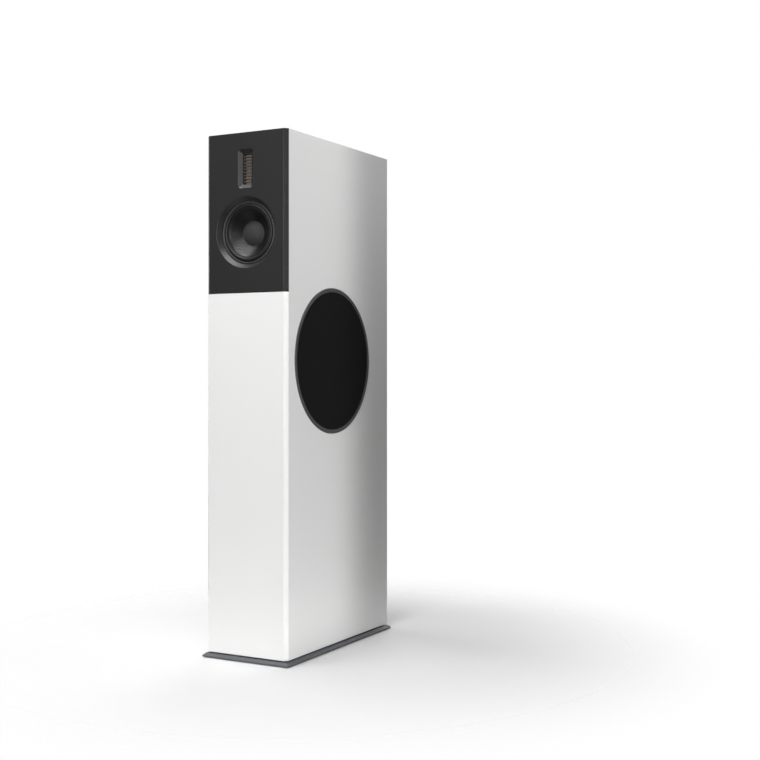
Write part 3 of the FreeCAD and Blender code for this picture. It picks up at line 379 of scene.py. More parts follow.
finish_makers = {
    "white_lacquer": lacquer,
    "raw_board": raw_board,
    "grey_plate": anodised_plate,
    "plinth_paint": lambda c: satin_paint(c.plinth, 0.38),
    "pad_rubber": lambda c: rubber((0.02, 0.02, 0.02), 0.7),
    "zinc_steel": lambda c: bare_metal((0.62, 0.63, 0.62), 0.3),
    "black_screw": lambda c: bare_metal((0.09, 0.09, 0.095), 0.36, scale=2500),
    "cast_frame": powder_coat,
    "rubber_edge": lambda c: rubber((0.006, 0.006, 0.006), 0.42),
    "cone_gloss": cone_gloss,
    "cap_matt": cap_matt,
    "former_foil": lambda c: bare_metal((0.78, 0.78, 0.79), 0.25, scale=400),
    "copper_wire": lambda c: wound_wire((0.85, 0.38, 0.18)),
    # The second colour given to each weave is the painted shade of its hollows
    "spider_cloth": lambda c: woven((0.60, 0.42, 0.16), (0.30, 0.19, 0.06), 900, 0.7, 0.0001),
    "plated_steel": lambda c: bare_metal((0.50, 0.50, 0.48), 0.34, (1, 1, 0.1)),
    "ferrite": ferrite,
    "foam_gasket": lambda c: rubber((0.03, 0.03, 0.03), 0.85),
    "tab_brass": lambda c: bare_metal((0.80, 0.74, 0.55), 0.28),
    "trim_satin": lambda c: satin_paint(c.trim, 0.36, 3600),
    "grille_paint": lambda c: satin_paint(c.grille_ring, 0.4, 3200),
    "grille_fabric": lambda c: woven(c.cloth, shade(c.cloth, 0.35), 1250, 0.88, 0.00025),
    "magnet_nickel": lambda c: bare_metal((0.10, 0.095, 0.09), 0.12, scale=300),
    "tweeter_black": lambda c: satin_paint(c.tweeter_face, 0.45, 3600),
    "pleated_foil": pleated_film,
    "black_plastic": lambda c: moulded_plastic((0.016, 0.016, 0.017), 0.45),
    "post_metal": lambda c: bare_metal((0.90, 0.68, 0.30), 0.16, (1, 0.05, 1), 1200),
    "knob_red_plastic": lambda c: moulded_plastic((0.42, 0.012, 0.012), 0.22, grain_scale=500),
    "knob_black_plastic": lambda c: moulded_plastic((0.012, 0.012, 0.012), 0.22, grain_scale=500),
    "board_laminate": circuit_laminate,
    "capacitor_sleeve": film_sleeve,
    "cable_jacket": lambda c: rubber((0.03, 0.03, 0.032), 0.5),
    "fleece": fleece_fibre,
}


def finish(slot):
    """The finished material of a slot, made when it is first asked for."""
    name = slot.replace("_", " ")
    if name not in bpy.data.materials:
        finish_makers[slot](bpy.context.scene.speaker_colours).material.name = name
    return bpy.data.materials[name]


# Outlines and meshes
def circle(radius, height, count, flutes=0, depth=0.0):
    """A round loop at a height, with rounded flutes let into it."""
    loop = []
    for i in range(count):
        angle = math.tau * i / count
        r = radius - depth * max(0.0, math.cos(flutes * angle)) ** 0.7 if flutes else radius
        loop.append(Vector((r * math.cos(angle), r * math.sin(angle), height)))
    return loop


def hexagon(flat, height, count):
    """A loop of count points along a hexagon, flat to flat."""
    loop = []
    for i in range(count):
        angle = math.tau * i / count
        inside = (angle % (math.pi / 3)) - math.pi / 6
        r = flat / 2 / math.cos(inside)
        loop.append(Vector((r * math.cos(angle), r * math.sin(angle), height)))
    return loop


def rectangle(width, height, corner, steps=6):
    """Points (x, z) round a rectangle with rounded corners, from its right side upwards."""
    points = []
    for quarter, (sx, sz) in enumerate(((1, 1), (-1, 1), (-1, -1), (1, -1))):
        for i in range(steps + 1):
            angle = (quarter + i / steps) * math.pi / 2
            points.append((sx * (width / 2 - corner) + corner * math.cos(angle),
                           sz * (height / 2 - corner) + corner * math.sin(angle)))
    return points


def eased(outline, radius, steps=3):
    """A closed outline with its corners rounded, by less where a side is short."""
    eased_points = []
    count = len(outline)
    for i in range(count):
        before, corner, after = (Vector(outline[(i + k) % count]) for k in (-1, 0, 1))
        a, b = before - corner, after - corner
        reach = min(radius, a.length * 0.45, b.length * 0.45)
        if a.length < 1e-9 or b.length < 1e-9 or abs(a.angle(b) - math.pi) < 0.15:
            eased_points.append(corner)
            continue
        start, end = corner + a.normalized() * reach, corner + b.normalized() * reach
        for k in range(steps + 1):
            t = k / steps
            eased_points.append(start * (1 - t) ** 2 + corner * 2 * t * (1 - t) + end * t ** 2)
    return eased_points


def lofted(rows, ring=False):
    """Closed rows of points joined one to the next. ring joins the last to the first; else the ends are capped."""
    mesh = bmesh.new()
    grid = [[mesh.verts.new(p) for p in row] for row in rows]
    for a, b in zip(grid, grid[1:] + grid[:1] if ring else grid[1:]):
        for k in range(len(a)):
            n = (k + 1) % len(a)
            mesh.faces.new((a[k], a[n], b[n], b[k]))
    if not ring:
        mesh.faces.new(grid[0])
        mesh.faces.new(grid[-1])
    return mesh


def skin(rows, ring=False):
    """A lofted mesh with its poles closed and its faces outwards."""
    mesh = lofted(rows, ring)
    bmesh.ops.remove_doubles(mesh, verts=mesh.verts, dist=1e-7)
    bmesh.ops.recalc_face_normals(mesh, faces=mesh.faces)
    return mesh


def turned(outline, axis, sides=160):
    """A closed outline of (radius, height) turned round an axis."""
    return skin([[axis.point(r, math.tau * i / sides, h) for r, h in outline] for i in range(sides)], ring=True)


def joined(meshes):
    """One mesh of several shells."""
    whole = bmesh.new()
    for mesh in meshes:
        data = bpy.data.meshes.new("part")
        mesh.to_mesh(data)
        mesh.free()
        whole.from_mesh(data)
        bpy.data.meshes.remove(data)
    return whole


def plain_object(name, mesh):
    data = bpy.data.meshes.new(name)
    mesh.to_mesh(data)
    mesh.free()
    obj = bpy.data.objects.new(name, data)
    bpy.context.scene.collection.objects.link(obj)
    return obj


def settled(obj):
    """The object with its modifiers worked into its mesh."""
    graph = bpy.context.evaluated_depsgraph_get()
    data = bpy.data.meshes.new_from_object(obj.evaluated_get(graph))
    obj.modifiers.clear()
    obj.data = data
    return obj


def cut(obj, *cutters):
    """Takes closed meshes out of an object."""
    tools = [plain_object("cutter", cutter) for cutter in cutters]
    for tool in tools:
        carve = obj.modifiers.new("carve", "BOOLEAN")
        carve.object, carve.operation, carve.solver = tool, "DIFFERENCE", "EXACT"
    settled(obj)
    for tool in tools:
        bpy.data.objects.remove(tool)
    return obj


def broken_edges(obj, width, segments=2):
    """Sharp edges get a small round."""
    bevel = obj.modifiers.new("edges", "BEVEL")
    bevel.width, bevel.segments, bevel.limit_method = width, segments, "ANGLE"
    bevel.angle_limit = math.radians(28)
    bevel.miter_outer = "MITER_ARC"
    return settled(obj)


def dress(obj, slot, crease=35):
    """Smooth shading up to a crease angle, and the slot's finish."""
    data = obj.data
    data.polygons.foreach_set("use_smooth", [True] * len(data.polygons))
    data.set_sharp_from_angle(angle=math.radians(crease))
    data.materials.clear()
    data.materials.append(finish(slot))


def stand_in(obj, node, crease=35):
    """The finished object takes a CAD node's place, finish and body."""
    dress(obj, slot_of[node], crease)
    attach(obj, body_of[node])
    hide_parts(node)
    return obj


def bending(obj, node, other, start, end, crease=35):
    """A finished object that takes a CAD node's place and finish, fixed in the frame's coordinates."""
    dress(obj, slot_of[node], crease)
    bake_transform(obj)
    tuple(start)
    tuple(end)
    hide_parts(node)


def corners(points):
    """Lowest and highest corner of a set of points."""
    return tuple(Vector([pick(p[i] for p in points) for i in range(3)]) for pick in (min, max))


def grown(obj, label, build, inputs):
    """Runs a node tree on an object and keeps the result as a plain mesh. inputs are the tree's named values."""
    group = bpy.data.node_groups.new(label, "GeometryNodeTree")
    group.interface.new_socket("Geometry", in_out="INPUT", socket_type="NodeSocketGeometry")
    kinds = {int: "NodeSocketInt", float: "NodeSocketFloat"}
    for name, value in inputs.items():
        kind = kinds.get(type(value), "NodeSocketObject")
        group.interface.new_socket(name, in_out="INPUT", socket_type=kind)
    group.interface.new_socket("Material", in_out="INPUT", socket_type="NodeSocketMaterial")
    group.interface.new_socket("Geometry", in_out="OUTPUT", socket_type="NodeSocketGeometry")
    tree = Tree(group)
    entry = tree.node("NodeGroupInput")
    real = tree.node("GeometryNodeRealizeInstances", inputs={0: build(tree, entry)})
    painted = tree.node("GeometryNodeSetMaterial", inputs={"Geometry": real, "Material": entry.output("Material")})
    tree.feed(tree.tree.nodes.new("NodeGroupOutput").inputs[0], painted)
    modifier = obj.modifiers.new(label, "NODES")
    modifier.node_group = group
    for item in group.interface.items_tree:
        if item.in_out == "INPUT" and item.name in inputs:
            modifier[item.identifier] = inputs[item.name]
    return settled(obj)


# Sizes and colours that a user would change
def length(name, description, default):
    return FloatProperty(name=name, description=description, default=default, unit="LENGTH", precision=5)


def paint(name, description, default):
    return FloatVectorProperty(name=name, description=description, default=default, subtype="COLOR", size=3,
                               min=0, max=1)


class SpeakerSizes(bpy.types.PropertyGroup):
    corner_chamfer: length("Corner Chamfer", "Chamfer of the two upright front corners", 0.0065)
    edge_round: length("Edge Round", "Round on machined edges", 0.0005)
    mid_mouth_growth: length("Mouth Growth", "How far the midrange mouth flares towards the front", 0.0073)
    mid_mouth_cover: length("Mouth Cover", "How far the plate covers the midrange flange", 0.0068)
    tweeter_mouth_width: length("Tweeter Mouth Width", "Width of the tweeter's mouth", 0.0343)
    tweeter_mouth_height: length("Tweeter Mouth Height", "Height of the tweeter's mouth", 0.0725)
    tweeter_mouth_corner: length("Tweeter Mouth Corner", "Corner radius of the tweeter's mouth", 0.006)
    tweeter_mouth_depth: length("Tweeter Mouth Depth", "Depth of the tweeter's flare", 0.0055)
    tweeter_throat_corner: length("Throat Corner", "Corner radius of the tweeter's throat", 0.0015)
    film_folds: IntProperty(name="Film Folds", description="Folds of the tweeter's film", default=20, min=4)
    film_depth: length("Film Depth", "Depth of the tweeter film's folds", 0.0026)
    film_thickness: length("Film Thickness", "Thickness of the tweeter's film", 0.0003)
    cone_ribs: IntProperty(name="Cone Ribs", description="Curved ribs on each cone", default=60, min=0)
    rib_height: FloatProperty(name="Rib Height", description="Rib height as a share of the cone's radius",
                              default=0.008, subtype="FACTOR")
    rib_sweep: FloatProperty(name="Rib Sweep", description="Turn of a rib between the cap and the rim",
                             default=0.55, subtype="ANGLE")
    grille_rim: length("Grille Rim", "Visible width of the grille's ring", 0.0072)
    knob_grips: IntProperty(name="Knob Grips", description="Flutes round each knob", default=12, min=3)
    knob_grip_depth: length("Knob Grip Depth", "Depth of a knob's flutes", 0.0010)


class SpeakerColours(bpy.types.PropertyGroup):
    lacquer: paint("Lacquer", "Cabinet lacquer", (0.84, 0.84, 0.835))
    lacquer_roughness: FloatProperty(name="Lacquer Roughness", description="0 is a mirror", default=0.28)
    plate: paint("Plate", "Upper front plate", (0.0145, 0.0145, 0.0149))
    plinth: paint("Plinth", "Plinth paint", (0.085, 0.09, 0.10))
    trim: paint("Trim", "Bead round the midrange", (0.045, 0.045, 0.046))
    cone: paint("Cone", "Cone film", (0.004, 0.004, 0.0042))
    cap: paint("Dust Cap", "Dust cap", (0.034, 0.034, 0.035))
    grille_ring: paint("Grille Ring", "Paint of the grille's ring", (0.07, 0.07, 0.072))
    cloth: paint("Grille Cloth", "Cloth of the grille", (0.0105, 0.0105, 0.0105))
    tweeter_face: paint("Tweeter Face", "Bars across the tweeter", (0.075, 0.073, 0.072))
    film: paint("Film", "Tweeter film between its tracks", (0.26, 0.13, 0.05))
    film_tracks: paint("Film Tracks", "Metal tracks on the film", (0.45, 0.40, 0.36))
    floor: paint("Floor", "Floor and backdrop", (0.68, 0.68, 0.68))


class ConeDriver:
    """Sizes of one cone driver, read off its parts. Heights run outwards along its axis."""

    def __init__(self, name, axis, rubber, inner_lip, paper):
        self.name, self.axis, self.rubber, self.inner_lip, self.paper = name, axis, rubber, inner_lip, paper
        self.edge_radius = axis.radius(f"{name}_surround")
        self.lip_height, crest = axis.span(f"{name}_surround")
        self.roll = crest - self.lip_height - rubber / 2
        self.cone_radius = axis.radius(f"{name}_cone")
        self.roll_centre = self.cone_radius + self.roll
        self.cone_back = axis.span(f"{name}_cone")[0]
        self.former = axis.radius(f"{name}_coil_former")
        self.neck_height = axis.span(f"{name}_coil_former")[1]
        self.cap_radius = axis.radius(f"{name}_dust_cap")
        self.cap_base, self.cap_top = axis.span(f"{name}_dust_cap")
        self.spider_radius = axis.radius(f"{name}_spider")
        self.spider_low, self.spider_high = axis.span(f"{name}_spider")
        self.body = f"{name}_diaphragm"

    def rim(self):
        return self.cone_radius - self.inner_lip

    def cone_height(self, radius):
        """Height of the cone's front at a radius."""
        share = (radius - self.former) / (self.rim() - self.former)
        return self.neck_height + (self.lip_height - self.neck_height) * min(share, 1.0)


mid = ConeDriver("mid", mid_axis, rubber=0.8 * mm, inner_lip=2.0 * mm, paper=0.6 * mm)
bass = ConeDriver("bass", bass_axis, rubber=1.2 * mm, inner_lip=3.5 * mm, paper=0.9 * mm)


def arc(centre, radius, start, end, steps):
    """Points on an arc in the (radius, height) plane, angles in degrees."""
    turns = [math.radians(start + (end - start) * i / steps) for i in range(steps + 1)]
    return [(centre[0] + radius * math.cos(t), centre[1] + radius * math.sin(t)) for t in turns]


def surround_outline(d):
    """Half-roll of rubber between two flat lips, with small fillets at its feet."""
    h, t, c = d.lip_height, d.rubber, d.roll_centre
    low, high = d.roll - t / 2, d.roll + t / 2
    foot = math.degrees(math.asin(t / high))
    under = [(d.edge_radius, h)] + arc((c, h), low, 0, 180, 20) + [(d.rim(), h)]
    over = [(d.rim(), h + t)] + arc((c, h), high, 180 - foot, foot, 24) + [(d.edge_radius, h + t)]
    return eased(under + over, t * 0.45)


def spider_outline(d, rolls=6):
    """Corrugated cloth disc, flat at both edges."""
    t = 0.35 * mm
    middle = (d.spider_low + d.spider_high) / 2
    swing = (d.spider_high - d.spider_low) / 2 - t
    start, end = d.former + 1.5 * mm, d.spider_radius - (d.spider_radius - d.former) * 0.14
    line = [(d.former, middle)]
    steps = rolls * 10
    for i in range(steps + 1):
        share = i / steps
        line.append((start + (end - start) * share, middle + swing * math.sin(share * rolls * math.tau)))
    line.append((d.spider_radius, middle))
    return line + [(r, h + t) for r, h in reversed(line)]


def outline_normals(outline):
    """Outward normal at each point of a closed outline."""
    count = len(outline)
    area = sum(a[0] * b[1] - b[0] * a[1] for a, b in zip(outline, outline[1:] + outline[:1]))
    side = 1 if area > 0 else -1
    normals = []
    for i in range(count):
        a, b = Vector(outline[i - 1]), Vector(outline[(i + 1) % count])
        way = (b - a).normalized()
        normals.append((way[1] * side, -way[0] * side))
    return normals


def sectors(d, node, outline, count, columns):
    """A ring of abutting pieces whose normals follow the turned outline, so that the whole ring shades as one."""
    normals = outline_normals(outline)
    width = len(outline)
    radii = [r for r, h in outline]
    bend_radii = (max(radii) * 0.95, min(radii) * 1.02)
    turn = d.axis.matrix.to_3x3()
    for s in range(count):
        start, sweep = math.tau * s / count, math.tau / count
        angles = [start + sweep * i / columns for i in range(columns + 1)]
        mesh = lofted([[d.axis.point(r, a, h) for r, h in outline] for a in angles])
        bmesh.ops.recalc_face_normals(mesh, faces=mesh.faces)
        obj = plain_object(f"{node}_{s + 1:02d}", mesh)
        dress(obj, slot_of[node], 180)
        data = obj.data
        custom = []
        for face in data.polygons:
            cap = len(face.vertices) > 4
            for index in face.vertices:
                a, (nr, nh) = angles[index // width], normals[index % width]
                custom.append(face.normal if cap else turn @ Vector((nr * math.cos(a), nr * math.sin(a), nh)))
        for edge in data.edges:
            rows_of = {v // width for v in edge.vertices}
            edge.use_edge_sharp = rows_of in ({0}, {columns})
        data.normals_split_custom_set(custom)
        bend_start, bend_end = (d.axis.point(r, start + sweep / 2, d.lip_height) for r in bend_radii)
        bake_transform(obj)
        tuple(bend_start)
        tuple(bend_end)
        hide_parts(node)


def ribbed_cone(d, sizes):
    """Cone with fine curved ribs, laid out by a rule in polar coordinates."""
    def build(tree, entry):
        grid = tree.node("GeometryNodeMeshGrid", inputs={
            "Size X": math.tau, "Size Y": 1.0,
            "Vertices X": entry.output("Columns"), "Vertices Y": entry.output("Rows")})
        place = tree.node("ShaderNodeSeparateXYZ", inputs={0: tree.node("GeometryNodeInputPosition")})
        angle, share = place.output("X"), place.output("Y") + 0.5
        inner, outer = entry.output("Neck Radius"), entry.output("Rim Radius")
        low, high = entry.output("Neck Height"), entry.output("Rim Height")
        radius, height = inner + (outer - inner) * share, low + (high - low) * share
        swept = angle + entry.output("Rib Sweep") * share ** 1.4
        crest = (tree.maths("COSINE", swept * entry.output("Ribs")) * 0.5 + 0.5) ** 1.5
        fade = tree.smoothstep(share, 0.03, 0.12) * (1 - tree.smoothstep(share, 0.93, 0.985))
        risen = height + entry.output("Rib Height") * crest * fade
        flat = tree.combine(radius * tree.maths("COSINE", angle), radius * tree.maths("SINE", angle), risen)
        shaped = tree.node("GeometryNodeSetPosition", inputs={"Geometry": grid, "Position": flat})
        return tree.node("GeometryNodeMergeByDistance", inputs={"Geometry": shaped, "Distance": 1e-7})

    neck, rim = d.former, d.rim()
    obj = plain_object(f"{d.name}_ribbed_cone", bmesh.new())
    grown(obj, "Ribbed Cone", build, {
        "Columns": 7 * sizes.cone_ribs + 1, "Rows": 46, "Ribs": float(sizes.cone_ribs),
        "Neck Radius": neck, "Rim Radius": rim, "Neck Height": d.neck_height, "Rim Height": d.lip_height,
        "Rib Height": sizes.rib_height * rim, "Rib Sweep": sizes.rib_sweep})
    obj.data.transform(d.axis.matrix)
    thicken = obj.modifiers.new("paper", "SOLIDIFY")
    thicken.thickness, thicken.offset = d.paper, 1.0
    settled(obj)
    seat = turned([(rim, d.lip_height - d.paper), (d.cone_radius, d.lip_height - d.paper),
                   (d.cone_radius, d.lip_height), (rim, d.lip_height)], d.axis, sides=180)
    lip = plain_object("lip", seat)
    whole = joined([as_bmesh(obj), as_bmesh(lip)])
    bpy.data.objects.remove(lip)
    whole.to_mesh(obj.data)
    whole.free()
    return stand_in(obj, f"{d.name}_cone", 60)


def as_bmesh(obj):
    mesh = bmesh.new()
    mesh.from_mesh(obj.data)
    return mesh


def dome_cap(d):
    """Dust cap: a shallow dome with a narrow glued rim that follows the cone."""
    rise, reach = d.cap_top - d.cap_base, d.cap_radius
    ball = (reach ** 2 + rise ** 2) / (2 * rise)
    centre = (0, d.cap_top - ball)
    spread = math.degrees(math.asin(reach / ball))
    outer = arc(centre, ball, 90 - spread, 90, 28)
    inner_ball = ball - 0.5 * mm
    inner_spread = math.degrees(math.acos((d.cap_base - centre[1]) / inner_ball))
    inner = arc(centre, inner_ball, 90, 90 - inner_spread, 28)
    inner[0], outer[-1] = (0, inner[0][1]), (0, outer[-1][1])
    glue = reach + 0.03 * reach
    rim = [(inner[-1][0], d.cone_height(inner[-1][0])), (glue, d.cone_height(glue)),
           (glue, d.cone_height(glue) + 0.35 * mm), (reach, d.cap_base + 0.45 * mm)]
    obj = plain_object(f"{d.name}_cap", turned(rim + outer[1:] + inner[:-1], d.axis, sides=144))
    return stand_in(obj, f"{d.name}_dust_cap", 24)


def softened(node, width, segments=2):
    """A copy of a CAD node with its sharp edges rounded."""
    mesh = as_bmesh(frame["nodes"][node])
    bmesh.ops.remove_doubles(mesh, verts=mesh.verts, dist=1e-6)
    bmesh.ops.dissolve_limit(mesh, angle_limit=math.radians(0.6), verts=mesh.verts, edges=mesh.edges)
    obj = plain_object(f"{node}_soft_edged", mesh)
    broken_edges(obj, width, segments)
    return stand_in(obj, node, 30)


def weighted(obj):
    """Flat faces stay flat to the eye beside rounded edges."""
    obj.modifiers.new("flats", "WEIGHTED_NORMAL").keep_sharp = True
    return settled(obj)


# Pieces, one operator for each group
def operator(cls):
    """Lists an operator, in the order in which they run."""
    operators.append(cls)
    return cls


operators = []


@operator
class SPEAKER_OT_finishes(bpy.types.Operator):
    """Gives every carried-over part its finish"""
    bl_idname = "speaker.finishes"
    bl_label = "Finishes"

    def execute(self, context):
        for node, obj in frame["nodes"].items():
            for slot in obj.material_slots:
                slot.material = finish(slot_of[node])
        return {"FINISHED"}


@operator
class SPEAKER_OT_front_plate(bpy.types.Operator):
    """Makes the metal upper plate with its two flared mouths"""
    bl_idname = "speaker.front_plate"
    bl_label = "Front Plate"

    def execute(self, context):
        sizes = context.scene.speaker_sizes
        (x0, front, z0), (x1, back, z1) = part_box("baffle_plate")
        c = sizes.corner_chamfer
        outline = [(x0 + c, front), (x1 - c, front), (x1, front + c), (x1, back), (x0, back), (x0, front + c)]
        plate = plain_object("front_plate", skin([[Vector((x, y, z)) for x, y in outline] for z in (z0, z1)]))
        cut(plate, self.mid_mouth(sizes, -front, -back), self.tweeter_mouth(sizes, front, back))
        broken_edges(plate, sizes.edge_round, 3)
        stand_in(plate, "baffle_plate", 32)
        weighted(plate)
        return {"FINISHED"}

    def mid_mouth(self, sizes, front, back):
        """Cone-shaped cutter for the midrange, a little longer than the plate is thick."""
        narrow = mid_axis.radius("mid_basket") - sizes.mid_mouth_cover
        slope, spare = sizes.mid_mouth_growth / (front - back), 1 * mm
        outline = [(0, back - spare), (narrow - slope * spare, back - spare),
                   (narrow + slope * (front - back + spare), front + spare), (0, front + spare)]
        return turned(outline, mid_axis, sides=192)

    def tweeter_mouth(self, sizes, front, back):
        """Lofted cutter: a flare, then a straight throat."""
        (x0, _, z0), (x1, _, z1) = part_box("tweeter_foil")
        middle = Vector(((x0 + x1) / 2, 0, (z0 + z1) / 2))
        corner = sizes.tweeter_throat_corner
        throat = rectangle(x1 - x0, z1 - z0 + 2 * corner, corner, 8)
        mouth = rectangle(sizes.tweeter_mouth_width, sizes.tweeter_mouth_height, sizes.tweeter_mouth_corner, 8)
        rows = []
        for share, y in ((-0.2, front - 0.2 * sizes.tweeter_mouth_depth), (1, front + sizes.tweeter_mouth_depth),
                         (1, back + 1 * mm)):
            rows.append([middle + Vector((mx + (tx - mx) * share, y, mz + (tz - mz) * share))
                         for (mx, mz), (tx, tz) in zip(mouth, throat)])
        return skin(rows)


@operator
class SPEAKER_OT_tweeter(bpy.types.Operator):
    """Makes the tweeter's film, back plate and cup"""
    bl_idname = "speaker.tweeter"
    bl_label = "Tweeter"

    def execute(self, context):
        sizes = context.scene.speaker_sizes
        for node, width in (("tweeter_back_plate", 0.3), ("tweeter_cup", 0.5)):
            weighted(softened(node, width * mm))
        film = plain_object("tweeter_film", bmesh.new())
        low, high = (Vector(corner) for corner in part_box("tweeter_foil"))
        grown(film, "Pleated Film", self.pleats, {
            "Width": high.x - low.x, "Height": high.z - low.z, "Depth": sizes.film_depth,
            "Folds": sizes.film_folds, "Rows": sizes.film_folds * 16 + 1})
        middle = (low + high) / 2
        middle.y = high.y - (sizes.film_depth + sizes.film_thickness) / 2
        film.data.transform(Matrix.Translation(middle))
        sheet = film.modifiers.new("film", "SOLIDIFY")
        sheet.thickness, sheet.offset = sizes.film_thickness, 0.0
        settled(film)
        stand_in(film, "tweeter_foil", 60)
        return {"FINISHED"}

    def pleats(self, tree, entry):
        """Level folds, round at their ridges and valleys."""
        grid = tree.node("GeometryNodeMeshGrid", inputs={
            "Size X": entry.output("Width"), "Size Y": entry.output("Height"),
            "Vertices X": 9, "Vertices Y": entry.output("Rows")})
        place = tree.node("ShaderNodeSeparateXYZ", inputs={0: tree.node("GeometryNodeInputPosition")})
        share = place.output("Y") / entry.output("Height") + 0.5
        wave = tree.maths("COSINE", share * entry.output("Folds") * math.tau)
        rounded = wave * 1.5 / ((wave * wave * 1.25 + 1) ** 0.5)
        folded = tree.combine(place.output("X"), rounded * entry.output("Depth") * 0.5, place.output("Y"))
        return tree.node("GeometryNodeSetPosition", inputs={"Geometry": grid, "Position": folded})


@operator
class SPEAKER_OT_cones(bpy.types.Operator):
    """Makes the cones, dust caps and the bead round the midrange"""
    bl_idname = "speaker.cones"
    bl_label = "Cones"

    def execute(self, context):
        sizes = context.scene.speaker_sizes
        for driver in (mid, bass):
            ribbed_cone(driver, sizes)
            dome_cap(driver)
        low, high = mid_axis.span("mid_trim_ring")
        outer = mid_axis.radius("mid_trim_ring")
        inner = mid.roll_centre + mid.roll + 0.6 * mm
        crown = arc(((inner + outer) / 2, high - 1 * mm), (outer - inner) / 2, 0, 180, 14)
        top = [(r, high - 1 * mm + (h - high + 1 * mm) * 2 * mm / (outer - inner)) for r, h in crown]
        bead = plain_object("mid_bead", turned([(inner, low), (outer, low)] + top, mid_axis, sides=192))
        stand_in(bead, "mid_trim_ring")
        return {"FINISHED"}


@operator
class SPEAKER_OT_edges(bpy.types.Operator):
    """Makes the rubber surrounds and the corrugated spiders"""
    bl_idname = "speaker.edges"
    bl_label = "Surrounds and Spiders"

    def execute(self, context):
        for driver in (mid, bass):
            sectors(driver, f"{driver.name}_surround", surround_outline(driver), 24, 10)
            sectors(driver, f"{driver.name}_spider", spider_outline(driver), 12, 12)
        return {"FINISHED"}


def islands(node):
    """The separate solids of a node, each as its own mesh."""
    whole = as_bmesh(frame["nodes"][node])
    bmesh.ops.remove_doubles(whole, verts=whole.verts, dist=1e-6)
    whole.verts.ensure_lookup_table()
    seen, parts = set(), []
    for first in range(len(whole.verts)):
        if first in seen:
            continue
        members, waiting = {first}, [first]
        while waiting:
            vert = whole.verts[waiting.pop()]
            fresh = {edge.other_vert(vert).index for edge in vert.link_edges} - members
            members |= fresh
            waiting += fresh
        seen |= members
        part = whole.copy()
        bmesh.ops.delete(part, geom=[vert for vert in part.verts if vert.index not in members], context="VERTS")
        parts.append(part)
    whole.free()
    return parts


def loose_parts(node):
    """The separate solids of a node, each as a list of points."""
    return [[vert.co.copy() for vert in part.verts] for part in islands(node)]


@operator
class SPEAKER_OT_leads(bpy.types.Operator):
    """Makes the woven leads from the frames to the cones"""
    bl_idname = "speaker.leads"
    bl_label = "Woven Leads"

    def execute(self, context):
        for number, part in enumerate(islands("tinsel_leads"), 1):
            points = [vert.co.copy() for vert in part.verts]
            driver = min((mid, bass), key=lambda d: abs(d.axis.foot.z - points[0].z))
            points.sort(key=lambda p: self.away(driver.axis, p))
            bending(plain_object(f"woven_lead_{number}", part), "tinsel_leads", driver.body, points[-1], points[0])
        return {"FINISHED"}

    def away(self, axis, point):
        """Distance from a driver's axis."""
        flat = axis.matrix.inverted() @ point
        return math.hypot(flat.x, flat.y)


@operator
class SPEAKER_OT_castings(bpy.types.Operator):
    """Rounds the edges of the drivers' frames and magnets, and makes their gaskets"""
    bl_idname = "speaker.castings"
    bl_label = "Driver Frames"

    def execute(self, context):
        for driver in (mid, bass):
            for part, width in (("basket", 0.6), ("magnet", 0.8), ("top_plate", 0.5), ("yoke", 0.6)):
                softened(f"{driver.name}_{part}", width * mm)
        for node, width in (("driver_gaskets", 0.2), ("driver_terminals", 0.12), ("catch_magnets", 0.3)):
            softened(node, width * mm)
        return {"FINISHED"}


@operator
class SPEAKER_OT_grille(bpy.types.Operator):
    """Makes the round grille: a steel ring with two ribs, and its stretched cloth"""
    bl_idname = "speaker.grille"
    bl_label = "Grille"

    def execute(self, context):
        sizes = context.scene.speaker_sizes
        back, face = bass_axis.span("grille_ring")
        outer, cloth_radius = bass_axis.radius("grille_ring"), bass_axis.radius("grille_cloth")
        cloth_back, cloth_face = bass_axis.span("grille_cloth")
        inner = outer - sizes.grille_rim
        ledge, ledge_back = inner - 7 * mm, cloth_back - 2.8 * mm
        outline = [(outer, back), (outer, face - 1 * mm), (outer - 1 * mm, face), (inner + 0.4 * mm, face),
                   (inner, face - 0.4 * mm), (inner, cloth_back), (ledge, cloth_back), (ledge, ledge_back),
                   (inner, ledge_back), (inner, back)]
        ring = turned(eased(outline, 0.5 * mm), bass_axis, sides=256)
        ribs = [self.rib(angle, ledge + 1 * mm, cloth_back) for angle in (45, 135)]
        frame_ring = plain_object("grille_frame", joined([ring] + ribs))
        stand_in(frame_ring, "grille_ring")
        self.cloth(cloth_radius, cloth_back, cloth_face, frame_ring)
        return {"FINISHED"}

    def rib(self, angle, reach, high):
        """A rounded bar across the ring, behind the cloth."""
        half, thick = 2.5 * mm, 0.6 * mm
        section = eased([(-half, high - thick), (half, high - thick), (half, high), (-half, high)], 0.2 * mm)
        turn = Matrix.Rotation(math.radians(angle), 4, "Z")
        rows = [[bass_axis.matrix @ turn @ Vector((end, y, z)) for y, z in section]
                for end in [reach * (i / 6 - 1) for i in range(13)]]
        return skin(rows)

    def cloth(self, radius, back, face, ring):
        """Fine cloth pulled tight over the ledge: a shallow roll at its edge and the faintest sag."""
        thickness = face - back
        outer, steps = radius, 40
        line = [(outer, back + thickness * 0.4), (outer - 0.2 * mm, face - 0.08 * mm), (outer - 0.6 * mm, face)]
        for i in range(1, steps + 1):
            r = (outer - 0.6 * mm) * (1 - i / steps)
            line.append((r, face - 0.18 * mm * (1 - (r / outer) ** 2)))
        outline = line + [(r, back) for r, h in reversed(line[3:])] + [(outer, back)]
        cloth = plain_object("grille_fabric", turned(outline, bass_axis, sides=200))
        stand_in(cloth, "grille_cloth")
        side = 2 * radius
        math.pi * radius ** 2


